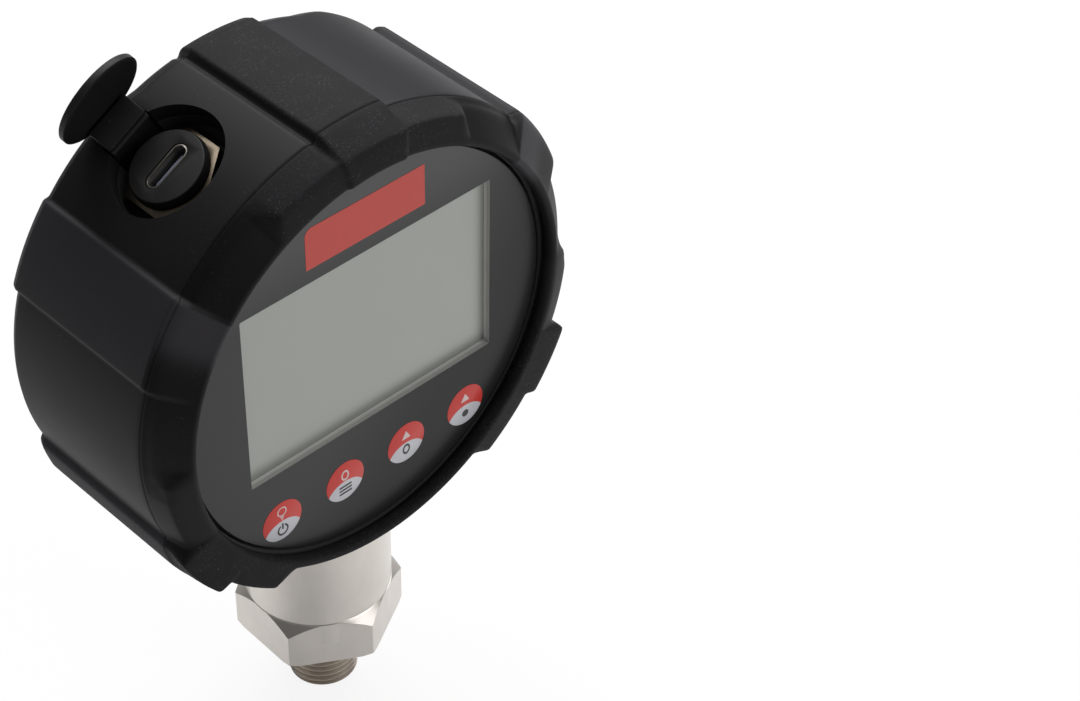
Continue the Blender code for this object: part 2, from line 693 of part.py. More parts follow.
def add_rear_cover(dial):
    """The round cover with a shallow panel, four screw holes and their counterbores."""
    inner_depth = COVER_BACK_DEPTH - COVER_PANEL_DEPTH
    profile = [
        (0.0, -COVER_FRONT_DEPTH),
        (COVER_RADIUS, -COVER_FRONT_DEPTH),
        (COVER_RADIUS, -COVER_BACK_DEPTH + CASE_EDGE),
        (COVER_RADIUS - CASE_EDGE, -COVER_BACK_DEPTH),
        (COVER_PANEL_RADIUS + COVER_PANEL_DEPTH, -COVER_BACK_DEPTH),
        (COVER_PANEL_RADIUS, -inner_depth),
        (0.0, -inner_depth),
    ]
    cover = place(turned("rear_cover", profile, DIAL_SEGMENTS, False), "rear_cover", case_plastic(), dial)
    for index, angle in enumerate(POST_ANGLES):
        x, y = on_dial(POST_CIRCLE_RADIUS, angle)
        low, high = -COVER_BACK_DEPTH - GAP, -COVER_FRONT_DEPTH + GAP
        hole = turned(
            f"cover_hole_{index + 1}",
            [
                (0.0, low),
                (REAR_SCREW_SINK_RADIUS, low),
                (REAR_SCREW_SINK_RADIUS, -COVER_BACK_DEPTH + REAR_SCREW_SINK_DEPTH),
                (REAR_SCREW_HOLE_RADIUS, -COVER_BACK_DEPTH + REAR_SCREW_SINK_DEPTH),
                (REAR_SCREW_HOLE_RADIUS, high),
                (0.0, high),
            ],
            SCREW_SEGMENTS,
            False,
        )
        cut(cover, hole, f"cover_hole_{index + 1}", dial, (x, y, 0.0))


def screw_mesh(name):
    """Return a pan-head screw whose head's underside is at its origin, shank towards +Z."""
    profile = [
        (0.0, -SCREW_HEAD_HEIGHT),
        (0.7 * SCREW_HEAD_RADIUS, -SCREW_HEAD_HEIGHT),
        (SCREW_HEAD_RADIUS, -0.5 * SCREW_HEAD_HEIGHT),
        (SCREW_HEAD_RADIUS, 0.0),
        (SCREW_SHANK_RADIUS, 0.0),
        (SCREW_SHANK_RADIUS, SCREW_LENGTH - SCREW_SHANK_RADIUS),
        (0.0, SCREW_LENGTH),
    ]
    return turned(name, profile, SCREW_SEGMENTS, False)


def add_screws(dial):
    """Four screws through the rear cover and four through the board."""
    rear_seat = -COVER_BACK_DEPTH + REAR_SCREW_SINK_DEPTH - GAP
    for index, angle in enumerate(POST_ANGLES):
        x, y = on_dial(POST_CIRCLE_RADIUS, angle)
        name = f"rear_screw_{index + 1}"
        place(screw_mesh(name), name, plated_steel(), dial, (x, y, rear_seat))
    for index, angle in enumerate(STANDOFF_ANGLES):
        x, y = on_dial(STANDOFF_CIRCLE_RADIUS, angle)
        name = f"board_screw_{index + 1}"
        place(screw_mesh(name), name, plated_steel(), dial, (x, y, -BOARD_BACK_DEPTH - GAP))


def add_gaskets(dial):
    """Flat rings under the lens and under the rear cover."""
    front = LENS_THICKNESS + GAP
    lens_ring = [
        (LENS_SEAT_RADIUS + GAP, -front),
        (LENS_RADIUS, -front),
        (LENS_RADIUS, -front - LENS_GASKET_THICKNESS),
        (LENS_SEAT_RADIUS + GAP, -front - LENS_GASKET_THICKNESS),
    ]
    place(turned("lens_gasket", lens_ring), "lens_gasket", seal_rubber(), dial)
    seat = COVER_SEAT_DEPTH + GAP
    cover_ring = [
        (COVER_SEAT_RADIUS + GAP, -seat),
        (COVER_RADIUS, -seat),
        (COVER_RADIUS, -seat - COVER_GASKET_THICKNESS),
        (COVER_SEAT_RADIUS + GAP, -seat - COVER_GASKET_THICKNESS),
    ]
    ring = place(turned("cover_gasket", cover_ring), "cover_gasket", seal_rubber(), dial)
    for index, angle in enumerate(POST_ANGLES):
        x, y = on_dial(POST_CIRCLE_RADIUS, angle)
        notch = prism(f"gasket_notch_{index + 1}", polygon(POST_RADIUS + GAP, 10), -CASE_DEPTH, -seat + GAP)
        cut(ring, notch, f"gasket_notch_{index + 1}", dial, (x, y, 0.0))


def add_lens_panel(dial):
    """The front panel, with a small chamfer round its front and a sunk window over the display."""
    profile = [
        (0.0, 0.0),
        (LENS_RADIUS - LENS_EDGE_CHAMFER, 0.0),
        (LENS_RADIUS, -LENS_EDGE_CHAMFER),
        (LENS_RADIUS, -LENS_THICKNESS),
        (0.0, -LENS_THICKNESS),
    ]
    panel = place(turned("lens_panel", profile, DIAL_SEGMENTS, False), "lens_panel", clear_panel(), dial)
    outline = rounded_rectangle(WINDOW_WIDTH, WINDOW_HEIGHT, WINDOW_CORNER_RADIUS, 3, (0.0, WINDOW_CENTRE))
    cut(panel, prism("window_sink", outline, WINDOW_FLOOR - LENS_THICKNESS, GAP), "window_sink", dial)


def add_display_stack(dial):
    """Display glass, its frame and the backlight between lens and board."""
    glass_front = LENS_THICKNESS + GAP
    glass_back = glass_front + DISPLAY_THICKNESS
    glass = rounded_rectangle(
        WINDOW_WIDTH + 2.0 * DISPLAY_MARGIN,
        WINDOW_HEIGHT + 2.0 * DISPLAY_MARGIN,
        0.0006,
        2,
        (0.0, WINDOW_CENTRE),
    )
    place(prism("display_panel", glass, -glass_back, -glass_front), "display_panel", display_glass(), dial)
    frame_front = glass_back + GAP
    frame_back = BOARD_FRONT_DEPTH - GAP
    outer = rounded_rectangle(DISPLAY_FRAME_WIDTH, DISPLAY_FRAME_HEIGHT, 0.002, 4, (0.0, WINDOW_CENTRE))
    inner = rounded_rectangle(
        DISPLAY_FRAME_OPENING_WIDTH, DISPLAY_FRAME_OPENING_HEIGHT, 0.001, 4, (0.0, WINDOW_CENTRE)
    )
    frame = framed_prism("display_frame", outer, inner, -frame_back, -frame_front)
    place(frame, "display_frame", frame_plastic(), dial)
    light = rounded_rectangle(
        DISPLAY_FRAME_OPENING_WIDTH - 2.0 * GAP,
        DISPLAY_FRAME_OPENING_HEIGHT - 2.0 * GAP,
        0.0008,
        2,
        (0.0, WINDOW_CENTRE),
    )
    light_mesh = prism("backlight_panel", light, -frame_front - BACKLIGHT_THICKNESS, -frame_front)
    place(light_mesh, "backlight_panel", light_guide(), dial)


def add_main_board(dial, port):
    """The round board, cut straight over the stem's spigot, with its screw holes and port notch."""
    outline = []
    cut_angle = math.degrees(math.acos(-BOARD_BOTTOM / BOARD_RADIUS))
    for step in range(ROUND_SEGMENTS + 1):
        angle = -180.0 + cut_angle + (360.0 - 2.0 * cut_angle) * step / ROUND_SEGMENTS
        outline.append(on_dial(BOARD_RADIUS, angle))
    outline.reverse()
    mesh = prism("main_board", outline, -BOARD_BACK_DEPTH, -BOARD_FRONT_DEPTH)
    board = place(mesh, "main_board", board_laminate(), dial)
    for index, angle in enumerate(STANDOFF_ANGLES):
        x, y = on_dial(STANDOFF_CIRCLE_RADIUS, angle)
        hole = prism(
            f"board_hole_{index + 1}",
            polygon(PILOT_RADIUS, 6),
            -BOARD_BACK_DEPTH - GAP,
            -BOARD_FRONT_DEPTH + GAP,
        )
        cut(board, hole, f"board_hole_{index + 1}", dial, (x, y, 0.0))
    half = PORT_POCKET_RADIUS + PORT_BOSS_WALL + BOARD_EDGE_CLEARANCE
    notch_low = port_floor_height() - PORT_BOSS_FLOOR - BOARD_EDGE_CLEARANCE
    notch_outline = [(-half, -half), (half, -half), (half, 0.0), (-half, 0.0)]
    notch = prism("board_port_notch", notch_outline, notch_low, 0.0)
    cut(board, notch, "board_port_notch", port)


def add_key_switches(dial):
    """Four push switches on the board, their plungers just behind the lens's keys."""
    base = -BOARD_FRONT_DEPTH + GAP
    body_top = base + SWITCH_BODY_HEIGHT
    tip = -LENS_THICKNESS - GAP
    for index in range(4):
        x = (index - 1.5) * KEY_PITCH
        name = f"key_switch_{index + 1}"
        body = rounded_rectangle(SWITCH_WIDTH, SWITCH_WIDTH, 0.0005, 1)
        switch = place(prism(name, body, base, body_top), name, switch_plastic(), dial, (x, KEY_HEIGHT, 0.0))
        plunger = prism(f"plunger_{index + 1}", polygon(SWITCH_PLUNGER_RADIUS, 12), body_top - GAP, tip)
        join(switch, plunger, f"plunger_{index + 1}", dial, (x, KEY_HEIGHT, 0.0))


def add_battery(dial):
    """The flat battery in a shallow tray on the back of the board."""
    tray_front = BOARD_BACK_DEPTH + GAP
    tray_width = BATTERY_WIDTH + 2.0 * (TRAY_WALL + GAP)
    tray_height = BATTERY_HEIGHT + 2.0 * (TRAY_WALL + GAP)
    corner = BATTERY_CORNER_RADIUS + TRAY_WALL
    outline = rounded_rectangle(tray_width, tray_height, corner, 4, (0.0, BATTERY_CENTRE))
    mesh = prism("battery_tray", outline, -tray_front - TRAY_DEPTH, -tray_front)
    tray = place(mesh, "battery_tray", switch_plastic(), dial)
    hollow = rounded_rectangle(
        BATTERY_WIDTH + 2.0 * GAP, BATTERY_HEIGHT + 2.0 * GAP, BATTERY_CORNER_RADIUS, 4, (0.0, BATTERY_CENTRE)
    )
    pocket = prism("tray_pocket", hollow, -tray_front - TRAY_DEPTH - GAP, -tray_front - TRAY_FLOOR)
    cut(tray, pocket, "tray_pocket", dial)
    battery_front = tray_front + TRAY_FLOOR + GAP
    cell = rounded_rectangle(BATTERY_WIDTH, BATTERY_HEIGHT, BATTERY_CORNER_RADIUS, 4, (0.0, BATTERY_CENTRE))
    pack = prism("battery_pack", cell, -battery_front - BATTERY_THICKNESS, -battery_front)
    place(pack, "battery_pack", battery_foil(), dial)


# Rubber boot
def ramp(value, middle, width):
    """Return 0 before a ramp, 1 after it and a straight line between."""
    return min(1.0, max(0.0, (value - middle) / width + 0.5))


def side_raise(angle):
    """Return how far the boot's side stands out at an angle from the top."""
    half_angle = abs(angle)
    panels = (
        (TOP_RIB_END, TOP_RIB_RAISE),
        (PORT_PANEL_END, PORT_PANEL_RAISE if angle < 0.0 else PLAIN_PANEL_RAISE),
        (SHOULDER_END, SHOULDER_RAISE),
        (CHEEK_END, CHEEK_RAISE),
        (FOOT_BLOCK_END, FOOT_BLOCK_RAISE),
        (FOOT_END, FOOT_RAISE),
    )
    raised = TOP_RIB_RAISE
    for index, (end, _) in enumerate(panels):
        following = panels[index + 1][1] if index + 1 < len(panels) else BOTTOM_RAISE
        width = PANEL_STEP_ANGLE if end < FOOT_END else LOWER_SCALLOP_RAMP
        raised += (following - panels[index][1]) * ramp(half_angle, end, width)
    return raised


def scallop_share(half_angle, lean=0.0):
    """Return 1 where the front ring is scalloped down to its lip, 0 where it has a flat face."""
    upper = ramp(half_angle, UPPER_SCALLOP_START, UPPER_SCALLOP_RAMP)
    upper_end = ramp(half_angle, UPPER_SCALLOP_END + lean, UPPER_SCALLOP_END_RAMP)
    lower = ramp(half_angle, LOWER_SCALLOP_START, LOWER_SCALLOP_RAMP)
    return upper - upper_end + lower


def mixed(face, scallop, share):
    """Return the point between a face point and a scallop point."""
    return tuple(a + (b - a) * share for a, b in zip(face, scallop))


def boot_section(angle):
    """Return the boot's closed section at an angle, as (radius, height out of the dial) points."""
    half_angle = abs(angle)
    side = BOOT_SIDE_RADIUS + side_raise(angle)
    share = scallop_share(half_angle)
    outer_share = scallop_share(half_angle, UPPER_SCALLOP_END_LEAN)
    shoulder = ramp(half_angle, PORT_PANEL_END, PANEL_STEP_ANGLE)
    shoulder -= ramp(half_angle, SHOULDER_END, PANEL_STEP_ANGLE)
    crease_depth = BOOT_CREASE_DEPTH - BOOT_SHOULDER_CREASE_RISE * shoulder
    rib = TOP_RIB_FRONT_RAISE * (1.0 - ramp(half_angle, TOP_RIB_END, PANEL_STEP_ANGLE))
    block = ramp(half_angle, CHEEK_END, PANEL_STEP_ANGLE) - ramp(half_angle, FOOT_BLOCK_END, PANEL_STEP_ANGLE)
    foot = ramp(half_angle, FOOT_BLOCK_END, PANEL_STEP_ANGLE)
    face_radius = BOOT_FACE_RADIUS + FOOT_BLOCK_FACE_RAISE * block + FOOT_FACE_RAISE * foot
    lip_base = LENS_POCKET_RADIUS + GAP / 2.0
    lip = lip_base + BOOT_LIP_FLARE
    top = BOOT_LIP_HEIGHT + rib
    crest = lip + BOOT_CREST_WIDTH
    face_top = top - BOOT_FACE_DROP
    slope_radius = crest + (side - crest) * 0.8
    face_edge = mixed((face_radius, face_top), (crest + BOOT_CREST_ROUND, top - BOOT_CREST_ROUND), share)
    slope_top = mixed(
        (face_radius + BOOT_FACE_ROUND * 0.6, face_top - BOOT_FACE_ROUND),
        (slope_radius, -crease_depth * 0.32),
        outer_share,
    )
    crease_start = mixed(
        (max(side, face_radius) - BOOT_CREASE_ROUND * 0.2, -crease_depth + BOOT_CREASE_ROUND),
        (side - BOOT_CREASE_ROUND * 0.5, -crease_depth + BOOT_CREASE_ROUND),
        outer_share,
    )
    bevel_start = BOOT_BACK_DEPTH - BOOT_BACK_BEVEL_LENGTH
    return [
        (lip_base, GAP),
        (lip_base + BOOT_LIP_FLARE * 0.5, top - 2.0 * BOOT_CREST_ROUND),
        (lip, top),
        (crest, top),
        face_edge,
        slope_top,
        crease_start,
        (side, -crease_depth),
        (side, -bevel_start),
        (side - BOOT_BACK_BEVEL_WIDTH * 0.18, -bevel_start - BOOT_BACK_BEVEL_LENGTH * 0.3),
        (side - BOOT_BACK_BEVEL_WIDTH * 0.65, -bevel_start - BOOT_BACK_BEVEL_LENGTH * 0.76),
        (side - BOOT_BACK_BEVEL_WIDTH, -BOOT_BACK_DEPTH),
        (BOOT_BACK_OPENING_RADIUS + GAP, -BOOT_BACK_DEPTH),
        (BOOT_BACK_OPENING_RADIUS, -BOOT_BACK_DEPTH + GAP),
        (BOOT_BACK_OPENING_RADIUS, -CASE_DEPTH - GAP),
        (BOOT_INNER_RADIUS, -CASE_DEPTH - GAP),
        (BOOT_INNER_RADIUS, -CASE_FRONT_CHAMFER),
        (BOOT_INNER_RADIUS - CASE_FRONT_CHAMFER, GAP),
    ]


def boot_angles():
    """Return the angles of the boot's sections: closely set at its steps, evenly between them."""
    steps = (TOP_RIB_END, PORT_PANEL_END, SHOULDER_END, CHEEK_END, FOOT_BLOCK_END)
    marks = [0.0, 180.0]
    for middle in steps:
        marks += [middle - PANEL_STEP_ANGLE / 2.0, middle + PANEL_STEP_ANGLE / 2.0]
    ramps = (
        (UPPER_SCALLOP_START, UPPER_SCALLOP_RAMP),
        (UPPER_SCALLOP_END, UPPER_SCALLOP_END_RAMP),
        (UPPER_SCALLOP_END + UPPER_SCALLOP_END_LEAN, UPPER_SCALLOP_END_RAMP),
        (LOWER_SCALLOP_START, LOWER_SCALLOP_RAMP),
        (FOOT_END, LOWER_SCALLOP_RAMP),
    )
    for middle, width in ramps:
        marks += [middle - width / 2.0, middle + width / 2.0]
    marks.sort()
    angles = []
    for low, high in zip(marks, marks[1:]):
        parts = max(1, math.ceil((high - low) / BOOT_SECTION_SPACING))
        angles += [low + (high - low) * part / parts for part in range(parts)]
    return angles + [180.0] + [-angle for angle in reversed(angles) if angle > 0.0]


def add_rubber_boot(dial, port):
    """The boot, lofted round the dial from its sections, with its port and stem holes."""
    bm = bmesh.new()
    rings = []
    for angle in boot_angles():
        turn = Matrix.Rotation(-math.radians(angle), 3, "Z")
        points = [turn @ Vector((0.0, radius, height)) for radius, height in boot_section(angle)]
        rings.append([bm.verts.new(point) for point in points])
    for ring, following in zip(rings, rings[1:] + rings[:1]):
        for index in range(len(ring)):
            after = (index + 1) % len(ring)
            bm.faces.new((ring[index], ring[after], following[after], following[index]))
    boot = place(finish_mesh(bm, "rubber_boot"), "rubber_boot", boot_rubber(), dial)
    hole_low = CASE_INNER_RADIUS - BOOT_SIDE_RADIUS
    hole = prism("boot_port_hole", polygon(PORT_HOLE_RADIUS, 48), hole_low, 0.004)
    cut(boot, hole, "boot_port_hole", port)
    cut(boot, leg_slot("boot_leg_slot", hole_low), "boot_leg_slot", port)
    stem_outline = polygon(NECK_RADIUS + BOOT_STEM_CLEARANCE, 48)
    stem_hole = prism("boot_stem_hole", stem_outline, 0.0, DIAL_HEIGHT - BOOT_INNER_RADIUS / 2.0)
    cut(boot, stem_hole, "boot_stem_hole", None)


# Port group, on the port's axis: x round the dial, y to the back, z out of the boot's side
def add_port_body(socket):
    """The metal body: a thin hexagon head and a barrel that the plug sits in."""
    low = port_head_low()
    head_top = low + PORT_HEAD_THICKNESS
    barrel = turned(
        "port_body",
        [
            (PORT_PLUG_RADIUS + GAP, barrel_end()),
            (PORT_BARREL_RADIUS, barrel_end()),
            (PORT_BARREL_RADIUS, head_top - GAP),
            (PORT_PLUG_RADIUS + GAP, head_top - GAP),
        ],
    )
    body = place(barrel, "port_body", nickel_brass(), socket)
    head = prism("port_head", polygon(corner_radius(PORT_HEAD_ACROSS_FLATS), 6, 30.0), low, head_top)
    join(body, head, "port_head", socket)
    bore_outline = polygon(PORT_PLUG_RADIUS + GAP, ROUND_SEGMENTS)
    bore = prism("port_bore", bore_outline, barrel_end() - GAP, head_top + GAP)
    cut(body, bore, "port_bore", socket)


def barrel_end():
    nut_low = port_floor_height() - PORT_BOSS_FLOOR - GAP - PORT_NUT_THICKNESS
    return nut_low - PORT_BARREL_OVERHANG


def add_port_face(socket):
    """The black round face with its raised rim and slot, and the plug behind it."""
    top = -PORT_FACE_SINK
    under = top - PORT_FACE_THICKNESS
    profile = [
        (0.0, under - PORT_PLUG_LENGTH),
        (PORT_PLUG_RADIUS, under - PORT_PLUG_LENGTH),
        (PORT_PLUG_RADIUS, under),
        (PORT_FACE_RADIUS, under),
        (PORT_FACE_RADIUS, top - 0.0002),
        (PORT_FACE_RADIUS - 0.0002, top),
        (PORT_FACE_RADIUS - PORT_FACE_RIM_WIDTH, top),
        (PORT_FACE_RADIUS - PORT_FACE_RIM_WIDTH, top - PORT_FACE_RIM_HEIGHT),
        (0.0, top - PORT_FACE_RIM_HEIGHT),
    ]
    face = place(turned("port_face", profile, ROUND_SEGMENTS, False), "port_face", port_plastic(), socket)
    slot = slot_outline(PORT_SLOT_WIDTH, PORT_SLOT_HEIGHT)
    cut(face, prism("face_slot", slot, under - PORT_PLUG_LENGTH - GAP, 0.0), "face_slot", socket)


def add_port_shell(socket):
    """The metal shell that lines the slot, and the tongue inside it."""
    top = -PORT_FACE_SINK - PORT_FACE_RIM_HEIGHT
    low = -PORT_FACE_SINK - PORT_FACE_THICKNESS - PORT_PLUG_LENGTH
    width = PORT_SLOT_WIDTH - 2.0 * PORT_SHELL_CLEARANCE
    height = PORT_SLOT_HEIGHT - 2.0 * PORT_SHELL_CLEARANCE
    inner_width = width - 2.0 * PORT_SHELL_WALL
    inner_height = height - 2.0 * PORT_SHELL_WALL
    shell = framed_prism(
        "port_shell", slot_outline(width, height), slot_outline(inner_width, inner_height), low, top
    )
    place(shell, "port_shell", plated_steel(), socket)
    base_width = inner_width - 2.0 * PORT_SHELL_CLEARANCE
    base_height = inner_height - 2.0 * PORT_SHELL_CLEARANCE
    base = prism("port_tongue", slot_outline(base_width, base_height, 4), low, low + PORT_TONGUE_BASE)
    tongue = place(base, "port_tongue", port_plastic(), socket)
    blade_outline = rounded_rectangle(PORT_TONGUE_WIDTH, PORT_TONGUE_THICKNESS, 0.0002, 1)
    blade = prism("tongue_blade", blade_outline, low + GAP, top - PORT_TONGUE_SINK)
    join(tongue, blade, "tongue_blade", socket)


def add_port_nut(socket):
    """The nut inside the case that holds the port's body."""
    high = port_floor_height() - PORT_BOSS_FLOOR - GAP
    low = high - PORT_NUT_THICKNESS
    nut = add_hex_nut("port_nut", PORT_NUT_ACROSS_FLATS, PORT_BARREL_RADIUS + GAP, low, high)
    place(nut, "port_nut", nickel_brass(), socket)


def add_cap_ring(port):
    """The cap's ring under the port's head, with the leg that stands up to the strap's hinge."""
    low = port_floor_height() + GAP
    high = low + CAP_RING_THICKNESS
    profile = [
        (PORT_BARREL_RADIUS + GAP, low),
        (CAP_RING_RADIUS, low),
        (CAP_RING_RADIUS, high),
        (PORT_BARREL_RADIUS + GAP, high),
    ]
    mesh = turned("cap_ring", profile, SMALL_SEGMENTS)
    mesh.transform(Matrix.Translation(socket_place()))
    ring = place(mesh, "cap_ring", boot_rubber(), port)
    half = CAP_LEG_WIDTH / 2.0
    front = leg_front()
    back = front + CAP_LEG_THICKNESS
    leg_top = -CAP_HINGE_SINK
    bend = [
        (CAP_RING_RADIUS - CAP_LEG_THICKNESS, low + 5e-5),
        (back, low + 5e-5),
        (back, leg_top),
        (front, leg_top),
        (front, high - 5e-5),
        (CAP_RING_RADIUS - CAP_LEG_THICKNESS, high - 5e-5),
    ]
    leg = prism("cap_leg", bend, -half, half)
    leg.transform(Matrix(((0, 0, 1, 0), (1, 0, 0, 0), (0, 1, 0, 0), (0, 0, 0, 1))))
    join(ring, leg, "cap_leg", port)
    cradle = prism("cap_cradle", polygon(CAP_KNUCKLE_RADIUS + GAP, 24), -half - GAP, half + GAP)
    cut(ring, cradle, "cap_cradle", port, (0.0, CAP_HINGE_BACK, -CAP_HINGE_SINK), (0.0, math.pi / 2.0, 0.0))


def add_cap_strap(port):
    """The strap: a knuckle on its hinge line and a flat tongue that carries the disc."""
    tilt = math.radians(CAP_STRAP_OPEN_ANGLE)
    location = (0.0, CAP_HINGE_BACK, -CAP_HINGE_SINK)
    half = CAP_LEG_WIDTH / 2.0
    low = CAP_STRAP_OFFSET - CAP_STRAP_THICKNESS / 2.0
    high = CAP_STRAP_OFFSET + CAP_STRAP_THICKNESS / 2.0
    end = CAP_STRAP_LENGTH - GAP
    tongue = prism("cap_strap", [(-half, 0.0), (half, 0.0), (half, end), (-half, end)], low, high)
    strap = place(tongue, "cap_strap", boot_rubber(), port, location, (tilt, 0.0, 0.0))
    knuckle = prism("cap_knuckle", polygon(CAP_KNUCKLE_RADIUS, 20), -half + 1e-5, half - 1e-5)
    join(strap, knuckle, "cap_knuckle", strap, (0.0, 0.0, 0.0), (0.0, math.pi / 2.0, 0.0))
    return strap


def tilt_hinge():
    """Return the disc hinge's place on the strap, along it and out from it.

    The disc stands square on the strap's end when open and lies flat on the strap when closed,
    and these two places fix the point that it turns about.
    """
    reach = CAP_CLOSED_REACH - CAP_STRAP_OFFSET - CAP_DISC_ATTACH
    closed_face = CAP_STRAP_OFFSET - CAP_STRAP_THICKNESS / 2.0 - GAP
    total = CAP_STRAP_LENGTH + closed_face
    return (total + reach) / 2.0, (total - reach) / 2.0


def add_port_cap(strap):
    """The disc that closes the port hole, with a slightly rounded edge."""
    along, out = tilt_hinge()
    under = CAP_STRAP_LENGTH - along
    top = under + CAP_DISC_THICKNESS
    profile = [
        (0.0, under),
        (CAP_DISC_RADIUS - CAP_DISC_EDGE, under),
        (CAP_DISC_RADIUS, under + CAP_DISC_EDGE),
        (CAP_DISC_RADIUS, top - CAP_DISC_EDGE),
        (CAP_DISC_RADIUS - CAP_DISC_EDGE, top),
        (0.0, top),
    ]
    mesh = turned("port_cap", profile, ROUND_SEGMENTS, False)
    centre = CAP_STRAP_OFFSET + CAP_DISC_ATTACH - out
    upright = Matrix.Rotation(-math.pi / 2.0, 4, "X")
    mesh.transform(Matrix.Translation((CAP_DISC_SIDE_OFFSET, 0.0, centre)) @ upright)
    place(mesh, "port_cap", boot_rubber(), strap, (0.0, along, out))


def build_gauge():
    """Build the whole gauge."""
    for existing in list(bpy.data.objects):
        bpy.data.objects.remove(existing)
    dial = empty("dial_axis", None, (0.0, -LENS_SETBACK, DIAL_HEIGHT), (math.pi / 2.0, 0.0, 0.0))
    port_turn = math.radians(PORT_ANGLE)
    port_place = (
        BOOT_SIDE_RADIUS * math.sin(port_turn),
        PORT_DEPTH - LENS_SETBACK,
        DIAL_HEIGHT + BOOT_SIDE_RADIUS * math.cos(port_turn),
    )
    port = empty("port_axis", None, port_place, (0.0, port_turn, 0.0))
    socket = empty("socket_axis", port, socket_place())
    add_pressure_stem()
    add_sensor_group()
    add_stem_fixings()
    add_case_body(dial, port)
    add_rear_cover(dial)
    add_gaskets(dial)
    add_lens_panel(dial)
    add_display_stack(dial)
    add_main_board(dial, port)
    add_key_switches(dial)
    add_battery(dial)
    add_screws(dial)
    add_rubber_boot(dial, port)
    add_port_body(socket)
    add_port_face(socket)
    add_port_shell(socket)
    add_port_nut(socket)
    add_cap_ring(port)
    strap = add_cap_strap(port)
    add_port_cap(strap)


build_gauge()
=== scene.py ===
import math

import bmesh
import bpy
from bpy.props import FloatProperty, FloatVectorProperty, IntProperty, PointerProperty
from bpy.types import Operator, Panel, PropertyGroup
from mathutils import Matrix, Vector


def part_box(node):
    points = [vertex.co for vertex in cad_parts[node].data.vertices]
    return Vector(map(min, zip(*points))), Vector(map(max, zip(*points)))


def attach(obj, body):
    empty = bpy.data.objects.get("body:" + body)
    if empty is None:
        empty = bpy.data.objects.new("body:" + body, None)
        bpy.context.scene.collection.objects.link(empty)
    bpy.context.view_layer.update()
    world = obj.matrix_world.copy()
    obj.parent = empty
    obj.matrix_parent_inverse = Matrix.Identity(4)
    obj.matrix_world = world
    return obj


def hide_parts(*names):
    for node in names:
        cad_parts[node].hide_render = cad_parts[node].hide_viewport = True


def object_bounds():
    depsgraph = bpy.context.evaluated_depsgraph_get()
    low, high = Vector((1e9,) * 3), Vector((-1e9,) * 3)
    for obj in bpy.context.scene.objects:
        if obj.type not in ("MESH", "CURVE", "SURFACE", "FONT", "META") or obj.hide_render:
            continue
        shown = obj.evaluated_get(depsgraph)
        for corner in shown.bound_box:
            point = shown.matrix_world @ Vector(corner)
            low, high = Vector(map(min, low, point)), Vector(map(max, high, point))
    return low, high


bl_info = {
    "name": "Pressure Gauge Dresser",
    "version": (1, 0, 0),
    "blender": (4, 5, 0),
    "location": "View3D > Sidebar > Gauge",
    "description": "Builds the visible pieces and finishes of a digital pressure gauge on its packed frame",
    "category": "Object",
}

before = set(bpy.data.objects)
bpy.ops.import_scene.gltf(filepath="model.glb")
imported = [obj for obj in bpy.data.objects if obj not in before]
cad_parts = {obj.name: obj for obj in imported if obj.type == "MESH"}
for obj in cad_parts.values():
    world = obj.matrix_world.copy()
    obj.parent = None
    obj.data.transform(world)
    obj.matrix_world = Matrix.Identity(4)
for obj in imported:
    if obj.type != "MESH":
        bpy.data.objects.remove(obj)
CAD_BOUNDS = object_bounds()
MM = 0.001

# Ends of the boot's panels and steps between them, in degrees from the top of the dial
RIB_END = 8.6
PORT_PANEL_END = 49.9
SHOULDER_END = 70.1
CHEEK_END = 113.0
BLOCK_END = 130.1
FOOT_END = 144.9
STEP_WIDTH = 0.7
FOOT_STEP_WIDTH = 4.0

# Painted light and shade on the boot's facets: where they lie, where they fade in and out in degrees, share
# and factor; a factor over 1 is painted light, under 1 painted shade
BOOT_PAINTED_LIGHT_AND_SHADE = (
    ("front", 50.0, 50.8, 56.0, 65.0, 1.0, 4.0),
    ("side", 49.6, 50.2, 69.8, 70.4, 0.8, 3.8),
    ("front", 27.0, 31.0, 49.0, 49.6, 0.75, 0.3),
    ("front", 58.0, 67.0, 89.0, 94.0, 0.9, 0.15),
)

# Heights of the keys' symbols over the dial, and their thickness, in millimetres
MARK_FOOT = 0.062
MARK_TOP = 0.075
MARK_MIDDLE = 0.0685
MARK_THICKNESS = 0.013

# Turns of the strap about its hinge line and of the hexagon about the stem, in degrees
STRAP_TILT = 25.0
HEXAGON_TURN = -1.5

WHITE = (1.0, 1.0, 1.0, 1.0)


def length_property(name, description, millimetres):
    """Return a property for a length that is given in millimetres."""
    return FloatProperty(
        name=name, description=description, default=millimetres * MM, unit="LENGTH", subtype="DISTANCE"
    )


def colour_property(name, description, red, green, blue):
    """Return a property for a colour that is given as 0 to 255 screen values."""
    return FloatVectorProperty(
        name=name,
        description=description,
        default=tuple(linear(value) for value in (red, green, blue)) + (1.0,),
        size=4,
        subtype="COLOR",
        min=0.0,
        max=1.0,
    )


def linear(value):
    """Return the linear share of a 0 to 255 screen value."""
    share = value / 255.0
    return share / 12.92 if share <= 0.04045 else ((share + 0.055) / 1.055) ** 2.4


